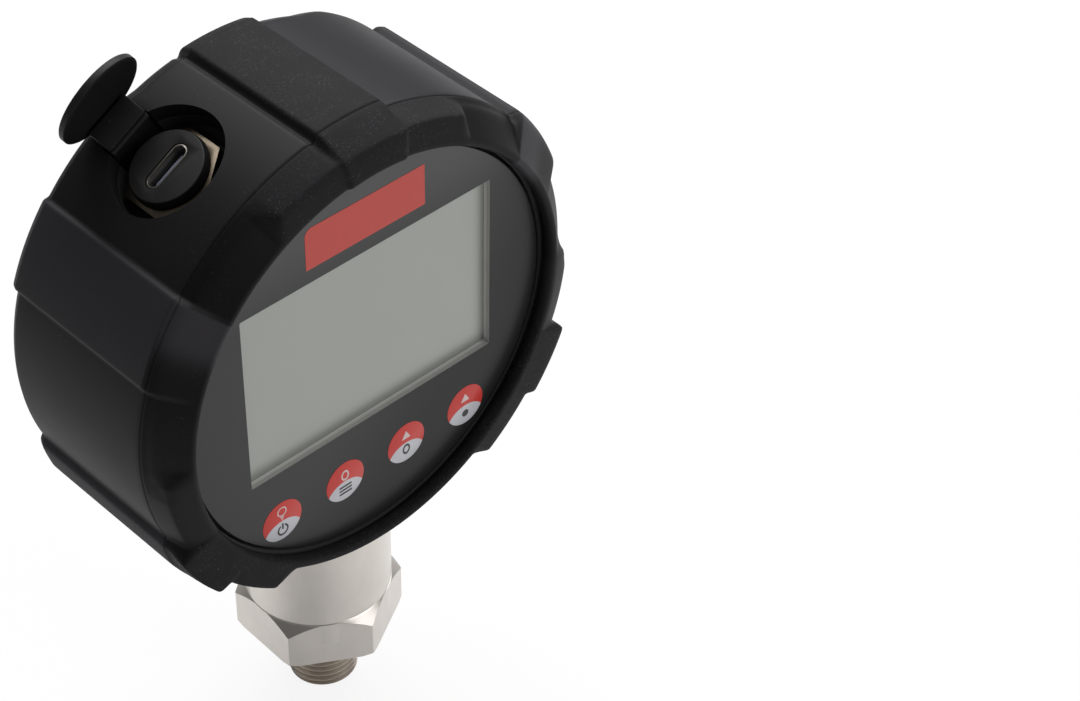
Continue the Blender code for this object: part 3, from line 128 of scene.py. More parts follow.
class GaugeSizes(PropertyGroup):
    """Sizes that the pieces and finishes share."""

    dial_height: length_property("Dial height", "Height of the dial's middle over the hexagon", 75.4)
    lens_setback: length_property("Lens setback", "How far the lens stands in front of the stem's axis", 17.5)
    lens_radius: length_property("Lens radius", "Radius of the front panel", 38.2)
    lens_thickness: length_property("Lens thickness", "Thickness of the front panel", 1.8)
    window_width: length_property("Window width", "Width of the display window", 53.4)
    window_height: length_property("Window height", "Height of the display window", 35.9)
    window_rise: length_property("Window rise", "How far the window's middle lies over the dial's", 3.85)
    window_depth: length_property("Window depth", "Depth of the display behind the panel's face", 1.5)
    boot_radius: length_property("Boot radius", "Radius of the boot's side", 45.7)
    boot_depth: length_property("Boot depth", "Depth of the boot behind the lens", 37.9)
    lip_height: length_property("Lip height", "How far the boot's lip stands proud of the lens", 2.9)
    boot_columns: IntProperty(
        name="Boot columns", description="Number of columns round the boot", default=480, min=240, max=720
    )
    port_depth: length_property("Port depth", "Distance of the port behind the lens", 21.6)
    port_hole_radius: length_property("Port hole radius", "Radius of the boot's hole over the port", 10.15)
    stem_hole_radius: length_property("Stem hole radius", "Radius of the boot's hole for the stem", 14.1)
    port_angle: FloatProperty(
        name="Port angle",
        description="Angle of the port from the top of the dial",
        default=math.radians(-29.6),
        unit="ROTATION",
        subtype="ANGLE",
    )
    key_pitch: length_property("Key pitch", "Distance between the keys' middles", 13.94)
    key_height: length_property("Key height", "Height of the keys' row from the dial's middle", -25.07)
    key_radius: length_property("Key radius", "Radius of a key's printed disc", 4.19)
    across_flats: length_property("Across flats", "Size of the stem's hexagon", 27.0)
    hexagon_height: length_property("Hexagon height", "Height of the stem's hexagon", 9.7)
    neck_radius: length_property("Neck radius", "Radius of the stem's neck", 13.6)
    bore_radius: length_property("Bore radius", "Radius of the pressure bore", 3.1)
    thread_radius: length_property("Thread radius", "Radius over the thread's crests", 6.58)
    thread_depth: length_property("Thread depth", "Height of the thread's crests over its root", 0.8)
    thread_length: length_property("Thread length", "Length of the thread under the hexagon", 15.0)
    thread_pitch: length_property("Thread pitch", "Rise of the thread in one turn", 1.337)


class GaugeColours(PropertyGroup):
    """Colours of the gauge's finishes."""

    rubber: colour_property("Rubber", "Moulded rubber of the boot and cap", 21, 20, 22)
    smooth_rubber: colour_property("Smooth rubber", "Smooth panels of the boot", 24, 22, 26)
    dust: colour_property("Dust", "Specks of dust on the rubber", 150, 146, 136)
    panel: colour_property("Panel", "Front panel behind its gloss", 31, 31, 31)
    display: colour_property("Display", "Unlit display", 148, 151, 145)
    red: colour_property("Red", "Printed red field", 178, 62, 54)
    key_red: colour_property("Key red", "Upper parts of the keys", 186, 56, 50)
    white: colour_property("White", "Lower parts of the keys", 184, 184, 190)
    steel: colour_property("Steel", "Satin stainless steel", 216, 210, 204)
    nickel: colour_property("Nickel", "Nickel on brass at the port", 100, 91, 79)
    floor: colour_property("Floor", "Floor and backdrop", 226, 226, 226)


def sizes():
    return bpy.context.scene.gauge_sizes


def colours():
    return bpy.context.scene.gauge_colours


def in_mm(length):
    """Return a property's length in millimetres, without the property's rounding."""
    return round(length / MM, 4)


# Places
def shift(x=0.0, y=0.0, z=0.0):
    """Return a move that is given in millimetres."""
    return Matrix.Translation((x * MM, y * MM, z * MM))


def dial_place():
    """Return the dial's frame: x right, y up, z out of the lens."""
    size = sizes()
    middle = (0.0, -size.lens_setback, size.dial_height)
    return Matrix.Translation(middle) @ Matrix.Rotation(math.pi / 2.0, 4, "X")


def port_place():
    """Return the port's frame: x round the dial, y to the back, z out of the boot's side."""
    size = sizes()
    middle = (
        size.boot_radius * math.sin(size.port_angle),
        size.port_depth - size.lens_setback,
        size.dial_height + size.boot_radius * math.cos(size.port_angle),
    )
    return Matrix.Translation(middle) @ Matrix.Rotation(size.port_angle, 4, "Y")


def socket_place():
    """Return the socket's frame, which is a little off the port hole's middle."""
    return port_place() @ shift(-0.5, 0.9)


def strap_place():
    """Return the strap's frame on its hinge line, tilted back."""
    return port_place() @ shift(0.0, 9.3, -0.6) @ Matrix.Rotation(math.radians(STRAP_TILT), 4, "X")


def cap_place():
    """Return the cap disc's frame at the strap's end, turned up."""
    return strap_place() @ shift(0.5, 4.8, 6.4) @ Matrix.Rotation(-math.pi / 2.0, 4, "X")


# Modelling helpers
def clear_selection():
    """Leave edit mode and deselect everything."""
    if bpy.context.object and bpy.context.object.mode != "OBJECT":
        bpy.ops.object.mode_set(mode="OBJECT")
    bpy.ops.object.select_all(action="DESELECT")


def activate(piece):
    """Make a piece the only selected and active one."""
    clear_selection()
    piece.select_set(True)
    bpy.context.view_layer.objects.active = piece


def edit(piece, everything=False):
    """Enter edit mode on a piece's vertices, with all or none of them selected."""
    activate(piece)
    bpy.ops.object.mode_set(mode="EDIT")
    bpy.ops.mesh.select_mode(type="VERT")
    bpy.ops.mesh.select_all(action="SELECT" if everything else "DESELECT")


def pick(piece, test):
    """Select the vertices in edit mode whose place passes a test."""
    mesh = bmesh.from_edit_mesh(piece.data)
    for vertex in mesh.verts:
        vertex.select = bool(test(vertex.co))
    mesh.select_flush_mode()
    bmesh.update_edit_mesh(piece.data, loop_triangles=False, destructive=False)


def pick_edges(piece, axis, length, test=None):
    """Select the edges in edit mode that run along an axis for more than some millimetres."""
    bpy.ops.mesh.select_mode(type="EDGE")
    bpy.ops.mesh.select_all(action="DESELECT")
    mesh = bmesh.from_edit_mesh(piece.data)
    for edge in mesh.edges:
        start = edge.verts[0].co
        runs = abs(start[axis] - edge.verts[1].co[axis]) > length * MM
        edge.select = runs and (test is None or test(start))
    bmesh.update_edit_mesh(piece.data, loop_triangles=False, destructive=False)


def bevel_uprights(piece, length, offset, segments, test=None):
    """Round the upright edges in edit mode that are longer than a length, in millimetres."""
    pick_edges(piece, 2, length, test)
    bpy.ops.mesh.bevel(offset=offset * MM, segments=segments, affect="EDGES")


def resize(x, y, z, centre=(0.0, 0.0, 0.0)):
    """Scale the selection in edit mode about a point."""
    bpy.ops.transform.resize(value=(x, y, z), center_override=centre)


def move(x=0.0, y=0.0, z=0.0):
    """Move the selection in edit mode, in millimetres."""
    bpy.ops.transform.translate(value=(x * MM, y * MM, z * MM))


def extrude_up(height):
    """Extrude the selected faces along Z, in millimetres."""
    bpy.ops.mesh.extrude_region_move(TRANSFORM_OT_translate={"value": (0.0, 0.0, height * MM)})


def close_tube():
    """Join the first and the last ring of an open tube in edit mode."""
    bpy.ops.mesh.select_all(action="DESELECT")
    bpy.ops.mesh.select_mode(type="EDGE")
    bpy.ops.mesh.select_non_manifold()
    bpy.ops.mesh.bridge_edge_loops()


def named(name):
    """Name the active object and its mesh, and return it."""
    piece = bpy.context.object
    piece.name = name
    piece.data.name = name
    return piece


def settle(piece, place=None):
    """Put a piece at its place and apply it, so that its object ends at the origin."""
    activate(piece)
    if place is not None:
        piece.matrix_world = place @ piece.matrix_world
        bpy.context.view_layer.update()
    bpy.ops.object.transform_apply(location=True, rotation=True, scale=True)
    return piece


def face_outwards(piece):
    """Merge doubles and turn every face outwards."""
    edit(piece, everything=True)
    bpy.ops.mesh.remove_doubles(threshold=1e-6)
    bpy.ops.mesh.normals_make_consistent(inside=False)
    bpy.ops.object.mode_set(mode="OBJECT")


def apply_modifier(piece, kind, **settings):
    """Add a modifier with its settings and apply it."""
    activate(piece)
    modifier = piece.modifiers.new(kind.title(), kind)
    for name, value in settings.items():
        setattr(modifier, name, value)
    bpy.ops.object.modifier_apply(modifier=modifier.name)


def shade(piece, angle=38.0):
    """Shade a piece smooth up to an angle."""
    activate(piece)
    bpy.ops.object.shade_smooth_by_angle(angle=math.radians(angle))


def soften(piece, width, segments=2, angle=30.0):
    """Round a piece's sharp edges by a width in millimetres and shade it smooth between them."""
    apply_modifier(
        piece,
        "BEVEL",
        width=width * MM,
        segments=segments,
        limit_method="ANGLE",
        angle_limit=math.radians(angle),
        miter_outer="MITER_ARC",
        harden_normals=False,
    )
    shade(piece)


def carve(piece, cutter, operation="DIFFERENCE"):
    """Cut a piece with a cutter, or join them, and remove the cutter."""
    apply_modifier(piece, "BOOLEAN", object=cutter, operation=operation, solver="EXACT")
    bpy.data.objects.remove(cutter)


def join(piece, other):
    """Join a second piece into the first without a boolean."""
    activate(piece)
    other.select_set(True)
    bpy.ops.object.join()


def turned(name, profile, segments=96, open_bore=False):
    """Draw a ring and extrude it along a profile of (radius, height) pairs in millimetres round Z."""
    clear_selection()
    bpy.ops.mesh.primitive_circle_add(
        vertices=segments,
        radius=profile[0][0] * MM,
        fill_type="NOTHING" if open_bore else "NGON",
        location=(0.0, 0.0, profile[0][1] * MM),
    )
    piece = named(name)
    settle(piece)
    edit(piece, everything=True)
    for (old_radius, old_height), (new_radius, new_height) in zip(profile, profile[1:]):
        if open_bore:
            rise_by = {"value": (0.0, 0.0, (new_height - old_height) * MM)}
            bpy.ops.mesh.extrude_edges_move(TRANSFORM_OT_translate=rise_by)
        else:
            extrude_up(new_height - old_height)
        factor = new_radius / old_radius
        resize(factor, factor, 1.0)
    if open_bore:
        close_tube()
    face_outwards(piece)
    return piece


def slab(name, width, depth, height, bevel=0.0, segments=3, place=(0.0, 0.0, 0.0)):
    """Scale a cube to a slab in millimetres and round its upright edges."""
    clear_selection()
    bpy.ops.mesh.primitive_cube_add(size=1.0)
    piece = named(name)
    edit(piece, everything=True)
    resize(width * MM, depth * MM, height * MM)
    move(*place)
    if bevel:
        bevel_uprights(piece, 0.9 * height, bevel, segments)
    bpy.ops.object.mode_set(mode="OBJECT")
    return piece


def prism(name, sides, radius, low, high):
    """Extrude a polygon from one height to another, in millimetres, and stay in edit mode."""
    clear_selection()
    bpy.ops.mesh.primitive_circle_add(
        vertices=sides, radius=radius * MM, fill_type="NGON", location=(0.0, 0.0, low * MM)
    )
    piece = named(name)
    settle(piece)
    edit(piece, everything=True)
    extrude_up(high - low)
    return piece


def stadium(name, length, width, low, high):
    """Stretch a round prism along X into a slot's form, in millimetres."""
    piece = prism(name, 48, width / 2.0, low, high)
    for side in (-1.0, 1.0):
        pick(piece, lambda co, side=side: co.x * side > 1e-7)
        move(side * (length - width) / 2.0)
    face_outwards(piece)
    return piece


def copied_node(node, name, bevel):
    """Copy a frame node's mesh, merge its loose faces and round its edges."""
    clear_selection()
    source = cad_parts[node]
    piece = source.copy()
    piece.data = source.data.copy()
    piece.parent = None
    for key in list(piece.keys()):
        if key.startswith("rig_"):
            del piece[key]
    bpy.context.collection.objects.link(piece)
    piece.name = name
    piece.data.name = name
    piece.data.materials.clear()
    edit(piece, everything=True)
    bpy.ops.mesh.customdata_custom_splitnormals_clear()
    bpy.ops.mesh.remove_doubles(threshold=2e-6)
    bpy.ops.mesh.dissolve_limited(angle_limit=math.radians(1.0))
    bpy.ops.mesh.normals_make_consistent(inside=False)
    bpy.ops.object.mode_set(mode="OBJECT")
    soften(piece, bevel)
    return piece


def dress(piece, finish, body, *nodes):
    """Give a piece its finish, its body and the frame nodes that it stands for."""
    piece.data.materials.clear()
    piece.data.materials.append(finish)
    if nodes:
        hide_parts(*nodes)
    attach(piece, body)
    return piece


# Finishes
def math_method(operation, swapped=False):
    """Return a method that adds a Math node with two values."""

    def method(self, other):
        pair = (other, self) if swapped else (self, other)
        return self.maths(operation, *pair)

    return method


class Wire:
    """A shader socket on which Python's arithmetic adds Math nodes."""

    def __init__(self, tree, socket):
        self.tree = tree
        self.socket = socket

    def maths(self, operation, *values):
        node = self.tree.nodes.new("ShaderNodeMath")
        node.operation = operation
        for slot, value in zip(node.inputs, values):
            feed(self.tree, slot, value)
        return Wire(self.tree, node.outputs[0])

    __add__ = math_method("ADD")
    __radd__ = math_method("ADD", swapped=True)
    __sub__ = math_method("SUBTRACT")
    __rsub__ = math_method("SUBTRACT", swapped=True)
    __mul__ = math_method("MULTIPLY")
    __rmul__ = math_method("MULTIPLY", swapped=True)
    __truediv__ = math_method("DIVIDE")
    __gt__ = math_method("GREATER_THAN")
    __lt__ = math_method("LESS_THAN")
    at_least = math_method("MAXIMUM")
    angle_over = math_method("ARCTAN2")

    def __abs__(self):
        return self.maths("ABSOLUTE", self)

    def floor(self):
        return self.maths("FLOOR", self)


def feed(tree, slot, value):
    """Link a wire to a socket, or set the socket's value."""
    if isinstance(value, Wire):
        tree.links.new(value.socket, slot)
    else:
        slot.default_value = value


class Finish:
    """A material under construction on its Principled shader."""

    def __init__(self, name, colour, roughness, metallic=0.0, **constants):
        self.material = bpy.data.materials.new(name)
        self.material.use_nodes = True
        self.tree = self.material.node_tree
        self.shader = self.tree.nodes["Principled BSDF"]
        self.set("Base Color", tuple(colour))
        self.set("Roughness", roughness)
        self.set("Metallic", metallic)
        for socket, value in constants.items():
            self.set(socket.replace("_", " "), value)
        self.material.diffuse_color = tuple(colour)

    def set(self, socket, value):
        feed(self.tree, self.shader.inputs[socket], value)

    def node(self, kind, settings=None, inputs=None, output=0):
        """Add any node: its settings first, then its sockets, and return one output."""
        node = self.tree.nodes.new(kind)
        for name, value in (settings or {}).items():
            setattr(node, name, value)
        for name, value in (inputs or {}).items():
            feed(self.tree, node.inputs[name], value)
        return Wire(self.tree, node.outputs[output])

    def place(self):
        return self.node("ShaderNodeTexCoord", output="Object")

    def axes(self):
        """Return the place's x, y and z."""
        split = self.node("ShaderNodeSeparateXYZ", inputs={0: self.place()})
        return [Wire(self.tree, socket) for socket in split.socket.node.outputs]

    def distance(self, first, second):
        """Return the distance from the origin of two coordinates."""
        vector = self.node("ShaderNodeCombineXYZ", inputs={"X": first, "Y": second})
        return self.node("ShaderNodeVectorMath", {"operation": "LENGTH"}, {0: vector}, "Value")

    def noise(self, scale, detail=2.0, rough=0.5, stretch=None):
        vector = self.place()
        if stretch:
            vector = self.node("ShaderNodeMapping", inputs={"Vector": vector, "Scale": stretch})
        inputs = {"Vector": vector, "Scale": scale, "Detail": detail, "Roughness": rough}
        return self.node("ShaderNodeTexNoise", inputs=inputs, output="Fac")

    def ramp(self, value, low, high):
        """Return 0 under the low value, 1 over the high one and a smooth rise between."""
        inputs = {"Value": value, "From Min": low, "From Max": high, "To Min": 0.0, "To Max": 1.0}
        return self.node("ShaderNodeMapRange", {"interpolation_type": "SMOOTHSTEP"}, inputs)

    def band(self, value, start, begun, end, ended):
        """Return 1 between two ramps of a value and 0 outside them."""
        return self.ramp(value, start, begun) * (1.0 - self.ramp(value, end, ended))

    def mix(self, share, first, second):
        """Return a colour mixed from two."""
        return self.node("ShaderNodeMix", {"data_type": "RGBA"}, {"Factor": share, 6: first, 7: second}, 2)

    def tone(self, share, colour, low, high):
        """Return a colour that a pattern makes darker or lighter."""
        return self.mix(share, shaded(colour, low), shaded(colour, high))

    def finished(self, colour, roughness, relief=None, distance=0.0, strength=1.0):
        """Set the colour, the roughness and a relief by its distance in metres, and return the finish."""
        self.set("Base Color", colour)
        self.set("Roughness", roughness)
        if relief is not None:
            inputs = {"Height": relief, "Distance": distance, "Strength": strength}
            self.set("Normal", self.node("ShaderNodeBump", inputs=inputs))
        return self

    def specks(self, scale, size, share):
        """Return 1 on small round specks in a share of the cells of a pattern."""
        settings = {"feature": "F1", "distance": "EUCLIDEAN"}
        inputs = {"Vector": self.place(), "Scale": scale}
        distance = self.node("ShaderNodeTexVoronoi", settings, inputs, "Distance")
        colour = self.node("ShaderNodeTexVoronoi", settings, inputs, "Color")
        chance = self.node("ShaderNodeSeparateColor", inputs={0: colour})
        return (distance < size) * (chance < share)


def shaded(colour, factor):
    """Return a colour made darker or lighter, as numbers."""
    return tuple(min(1.0, value * factor) for value in colour[:3]) + (1.0,)


def once(name, recipe, *values):
    """Return a finish by name, and make it the first time."""
    return bpy.data.materials.get(name) or recipe(name, *values).material


def boot_finish(name):
    """Moulded rubber: grained and smooth panels, dust, and painted light and shade on its facets and its
    foot.
    """
    shade_set = colours()
    rubber = shade_set.rubber
    made = Finish(name, rubber, 0.55, Specular_IOR_Level=0.13)
    x, y, z = made.axes()
    height = z - sizes().dial_height
    half_angle = abs(x).angle_over(height) * (180.0 / math.pi)
    side = made.ramp(made.distance(x, height), 0.0441, 0.0444) * made.ramp(y, -0.0139, -0.0135)
    front = (1.0 - side) * (1.0 - made.ramp(y, -0.0145, -0.013))
    cheek = (half_angle > 70.4) * (half_angle < 112.65)
    right = (x > 0.0) * (half_angle > 8.8) * (half_angle < 49.6)
    smooth = (cheek + right) * side
    foot = made.ramp(half_angle, 112.6, 112.75)
    rib = 1.0 - made.ramp(half_angle, 8.4, 8.9)
    chamfer = front * (1.0 - made.ramp(half_angle, 27.0, 30.0))
    grained = (1.0 - smooth) * (0.15 + 0.85 * foot.at_least(rib).at_least(chamfer))
    grain = made.noise(4200.0, 2.0, 0.65)
    leather = made.noise(1500.0, 3.0, 0.6)
    cloud = made.noise(45.0, 3.0, 0.55)
    glint = made.ramp(made.noise(3300.0, 1.0, 0.5), 0.56, 0.74)
    glint = glint * made.ramp(made.noise(260.0, 3.0, 0.6), 0.42, 0.6)
    specks = made.specks(1500.0, 0.16, 0.08) * made.ramp(made.noise(120.0, 2.0, 0.6), 0.5, 0.68)
    fine = made.specks(3000.0, 0.18, 0.10) * made.ramp(made.noise(210.0, 2.0, 0.6), 0.44, 0.62)
    body = made.mix(smooth, made.tone(cloud, rubber, 0.75, 1.3), tuple(shade_set.smooth_rubber))
    # Painted light and shade: each facet is lightened or darkened to how the light falls on it
    for part, start, begun, end, ended, share, factor in BOOT_PAINTED_LIGHT_AND_SHADE:
        painted_facet = made.band(half_angle, start, begun, end, ended) * (side if part == "side" else front)
        body = made.mix(painted_facet * share, body, shaded(rubber, factor))
    # Painted light: the foot's side is lightened in place of the floor's bounce light
    body = made.mix(foot * side * 0.8, body, shaded(rubber, 5.0))
    body = made.mix(glint * grained * 0.35, body, shaded(rubber, 10.0))
    body = made.mix((specks * 0.5 + fine * 0.35) * (0.3 + 0.7 * grained), body, tuple(shade_set.dust))
    relief = (grain * 0.7 + leather * 0.8) * grained + grain * 0.07
    return made.finished(body, 0.46 + 0.16 * grained + 0.1 * cloud, relief, 0.00007, 0.8)


def rubber_finish(name):
    """Plain moulded rubber with a soft grain, for the cap and the seals."""
    shade_set = colours()
    made = Finish(name, shade_set.rubber, 0.55, Specular_IOR_Level=0.2)
    cloud = made.noise(160.0, 3.0, 0.6)
    body = made.tone(cloud, shade_set.rubber, 0.75, 1.15)
    body = made.mix(made.specks(2400.0, 0.14, 0.05) * 0.4, body, tuple(shade_set.dust))
    return made.finished(body, 0.5 + 0.12 * cloud, made.noise(3600.0, 2.0, 0.6), 0.00004, 0.5)


def panel_finish(name):
    """Dark grey film with fine dust, glossier at its top as a painted reflection and duller at its lower
    right as painted shade from the lip's dark reflection.
    """
    shade_set = colours()
    made = Finish(name, shade_set.panel, 0.3, Specular_IOR_Level=0.12, Coat_Roughness=0.3, Coat_IOR=1.9)
    x, _, z = made.axes()
    height = z - sizes().dial_height
    # Painted shade and reflection: the coat thins towards the lower right, where the lip's dark reflection
    # falls, and thickens at the top
    painted_shade = made.ramp(x * 0.75 - height * 0.66, -0.004, 0.026)
    made.set("Coat Weight", 0.22 - 0.17 * painted_shade + 0.22 * made.ramp(height, 0.018, 0.034))
    cloud = made.noise(60.0, 2.0, 0.5)
    body = made.tone(cloud, shade_set.panel, 0.92, 1.08)
    body = made.mix(made.specks(900.0, 0.05, 0.10) * 0.12, body, tuple(shade_set.dust))
    return made.finished(body, 0.27 + 0.05 * cloud, made.noise(520.0, 2.0, 0.4), 0.000003, 0.3)


def wall_finish(name):
    """Grey inner wall of the window, lighter towards the display."""
    size = sizes()
    made = Finish(name, (0.4, 0.4, 0.38, 1.0), 0.35)
    _, y, _ = made.axes()
    deep = made.ramp(y, -size.lens_setback, -size.lens_setback + size.window_depth)
    body = made.mix(deep, (0.34, 0.34, 0.33, 1.0), (0.62, 0.62, 0.59, 1.0))
    return made.finished(body, 0.3 + 0.1 * made.noise(900.0))


def display_finish(name):
    """Unlit display under glass: green-grey, with painted shadow of the window's wall darkening its right and
    lower edges.
    """
    display = colours().display
    size = sizes()
    made = Finish(name, display, 0.28)
    x, _, z = made.axes()
    height = z - (size.dial_height + size.window_rise)
    # Painted shadow of the window's wall along the right and lower edges
    right = made.ramp(x, size.window_width / 2.0 - 3.2 * MM, size.window_width / 2.0 - 0.2 * MM)
    low = 1.0 - made.ramp(height, -size.window_height / 2.0 + 0.4 * MM, -size.window_height / 2.0 + 3.6 * MM)
    cloud = made.noise(40.0, 2.0, 0.5)
    body = made.mix(right * 0.5, made.tone(cloud, display, 0.97, 1.03), shaded(display, 0.7))
    return made.finished(made.mix(low * 0.6, body, shaded(display, 0.55)), 0.3 + 0.04 * cloud)


def print_finish(name, colour):
    """Thin printed ink with a slight mottle."""
    made = Finish(name, colour, 0.34, Specular_IOR_Level=0.3)
    mottle = made.noise(1400.0, 3.0, 0.6)
    relief = made.noise(3000.0, 1.0, 0.5)
    return made.finished(made.tone(mottle, colour, 0.9, 1.1), 0.26 + 0.1 * mottle, relief, 0.000004, 0.5)


def key_finish(name):
    """A key's print: a white arch low on a red disc."""
    shade_set = colours()
    size = sizes()
    made = Finish(name, shade_set.key_red, 0.34, Specular_IOR_Level=0.3)
    x, _, z = made.axes()
    column = ((x / size.key_pitch).floor() + 0.5) * size.key_pitch
    aside = (x - column) / (4.15 * MM)
    upward = (z - (size.dial_height + size.key_height - 3.2 * MM)) / (3.15 * MM)
    split = (aside * aside + upward * upward) > 1.0
    mottle = made.noise(1400.0, 3.0, 0.6)
    red = made.tone(mottle, shade_set.key_red, 0.9, 1.1)
    body = made.mix(split, made.tone(mottle, shade_set.white, 0.95, 1.03), red)
    return made.finished(body, 0.26 + 0.1 * mottle)


def turned_steel_finish(name):
    """Satin stainless steel with turning lines round Z, painted shade on the crown and a browner thread."""
    steel = colours().steel
    made = Finish(name, steel, 0.3, 1.0)
    x, y, z = made.axes()
    radius = made.distance(x, y)
    crown = made.ramp(z + radius * 1.03, 23.5 * MM, 23.66 * MM) * made.ramp(radius, 13.6 * MM, 13.68 * MM)
    threaded = (z < -0.3 * MM) * 1.0
    lines = made.noise(400.0, 4.0, 0.7, (0.05, 0.05, 12.0))
    cloud = made.noise(70.0, 3.0, 0.6)
    streak = made.ramp(made.noise(170.0, 3.0, 0.6, (1.0, 1.0, 0.35)), 0.42, 0.68)
    body = made.mix(streak * 0.16, made.tone(cloud, steel, 0.86, 1.06), shaded(steel, 0.7))
    body = made.mix(threaded * 0.5, body, (0.33, 0.27, 0.2, 1.0))
    # Painted shade: the crown is darkened in place of the dark reflections on its cone
    body = made.mix(crown * 0.5, body, shaded(steel, 0.55))
    roughness = 0.22 + 0.09 * lines + 0.1 * cloud + 0.08 * crown
    relief = lines * 0.5 + made.noise(900.0, 3.0, 0.65) * 0.3
    return made.finished(body, roughness, relief, 0.00001, 0.35)


def plated_finish(name, colour, base_roughness=0.28):
    """Plated metal with fine brushing."""
    made = Finish(name, colour, base_roughness, 1.0)
    cloud = made.noise(160.0, 3.0, 0.6)
    relief = made.noise(700.0, 3.0, 0.65, (1.0, 6.0, 1.0))
    body = made.tone(cloud, colour, 0.75, 1.05)
    return made.finished(body, base_roughness + 0.15 * cloud, relief, 0.00002, 0.3)


def moulded_finish(name, colour, base_roughness, grain_scale):
    """Moulded plastic with a soft spark-eroded grain."""
    made = Finish(name, colour, base_roughness, Specular_IOR_Level=0.3)
    cloud = made.noise(90.0, 3.0, 0.55)
    relief = made.noise(grain_scale, 2.0, 0.55)
    body = made.tone(cloud, colour, 0.85, 1.12)
    return made.finished(body, base_roughness + 0.12 * cloud, relief, 0.00003, 0.5)


# Pieces
class GAUGE_OT_boot(Operator):
    """Loft the rubber boot ring by ring, raise its panels, scallop its front and cut its holes"""

    bl_idname = "gauge.boot"
    bl_label = "Rubber boot"

    def execute(self, context):
        shell = loft_boot()
        apply_modifier(shell, "SUBSURF", levels=1, render_levels=1)
        cut_boot(shell)
        shade(shell, 50.0)
        dress(shell, once("boot_rubber_grained", boot_finish), "gauge", "rubber_boot")
        return {"FINISHED"}


def rise(value, middle, width=STEP_WIDTH):
    """Return 0 before a ramp, 1 after it and a straight line between."""
    return min(1.0, max(0.0, (value - middle) / width + 0.5))


def panel_raise(angle):
    """Return how far a panel stands out from the boot's side at an angle, in millimetres."""
    half_angle = abs(angle)
    left = angle < 0.0
    panels = (
        (RIB_END, 0.9),
        (PORT_PANEL_END, 0.0 if left else -0.7),
        (SHOULDER_END, 0.8 if left else 1.0),
        (CHEEK_END, -0.4),
        (BLOCK_END, 2.1),
        (FOOT_END, 0.1),
        (180.0, -1.3),
    )
    raised = panels[0][1]
    for (end, before), (_, after) in zip(panels, panels[1:]):
        raised += (after - before) * rise(half_angle, end, FOOT_STEP_WIDTH if end == FOOT_END else STEP_WIDTH)
    raised -= 1.2 * (rise(half_angle, CHEEK_END) - rise(half_angle, 117.2, 7.5))
    if left:
        raised -= 0.5 * (rise(half_angle, 9.1, 0.5) - rise(half_angle, 10.1, 0.6))
    return raised


def scallop_share(half_angle, lean=0.0):
    """Return 1 where the front is scalloped down to its lip and 0 where it has a flat face."""
    upper = rise(half_angle, 27.5, 3.6)
    upper_end = rise(half_angle, 91.0 + lean, 4.0)
    return upper - upper_end + rise(half_angle, 148.0, 3.4)


def mixed(first, second, share):
    return tuple(a + (b - a) * share for a, b in zip(first, second))


def boot_section(angle):
    """Return the boot's section at an angle as (radius, height out of the lens), in millimetres."""
    size = sizes()
    half_angle = abs(angle)
    side = in_mm(size.boot_radius) + panel_raise(angle)
    back = -in_mm(size.boot_depth)
    share = scallop_share(half_angle)
    outer = scallop_share(half_angle, 4.0)
    shoulder = rise(half_angle, PORT_PANEL_END) - rise(half_angle, SHOULDER_END)
    block = rise(half_angle, CHEEK_END) - rise(half_angle, BLOCK_END)
    cheek = rise(half_angle, 88.0, 4.0) - rise(half_angle, CHEEK_END)
    sharp = 1.0 - 0.52 * rise(half_angle, 25.0, 8.0)
    crease = 3.7 - shoulder
    top = in_mm(size.lip_height) + 0.5 * (1.0 - rise(half_angle, RIB_END))
    face_radius = 43.9 + 2.8 * block + 0.5 * rise(half_angle, BLOCK_END)
    crest = 40.05
    face_top = top - 0.5 - 0.9 * cheek
    slope_radius = crest + (side - crest) * 0.8
    face_edge = mixed((face_radius, face_top), (crest + 0.4, top - 0.4), share)
    slope_top = mixed((face_radius + 0.42, face_top - 0.7), (slope_radius, -crease * 0.32), outer)
    crease_start = mixed((max(side, face_radius) - 0.22, -crease + 1.1), (side - 0.55, -crease + 1.1), outer)
    return [
        (38.3, 0.3), (38.75, top - 0.8), (39.0, top - 0.25), (39.35, top), (crest - 0.1, top),
        mixed((crest + 0.35, top - 0.08), (crest + 0.2, top - 0.16), share), face_edge,
        mixed(face_edge, slope_top, 0.5 + 0.12 * (1.0 - share)), slope_top,
        mixed(slope_top, crease_start, 0.6), crease_start, (side - 0.1, -crease + 0.45),
        (side - 0.03, -crease + 0.2), (side - 0.4, -crease + 0.02), (side, -crease - 0.16),
        (side, -crease - 0.6), (side, -10.0), (side, -18.0), (side, -26.0),
        (side, back + 3.7 * sharp), (side - 0.05, back + 3.15 * sharp),
        (side - 0.35 * sharp, back + 2.8 * sharp), (side - 0.75 * sharp, back + 1.7 * sharp),
        (side - 1.5 * sharp, back + 0.5 * sharp), (side - 2.1 * sharp, back), (37.2, back),
        (36.65, back + 0.05), (36.5, back + 0.4), (36.5, back + 1.9), (36.7, back + 2.1),
        (42.3, back + 2.1), (42.6, back + 2.4), (42.6, -20.0), (42.6, -2.2), (42.3, -1.2),
        (41.1, 0.15), (40.6, 0.3),
    ]


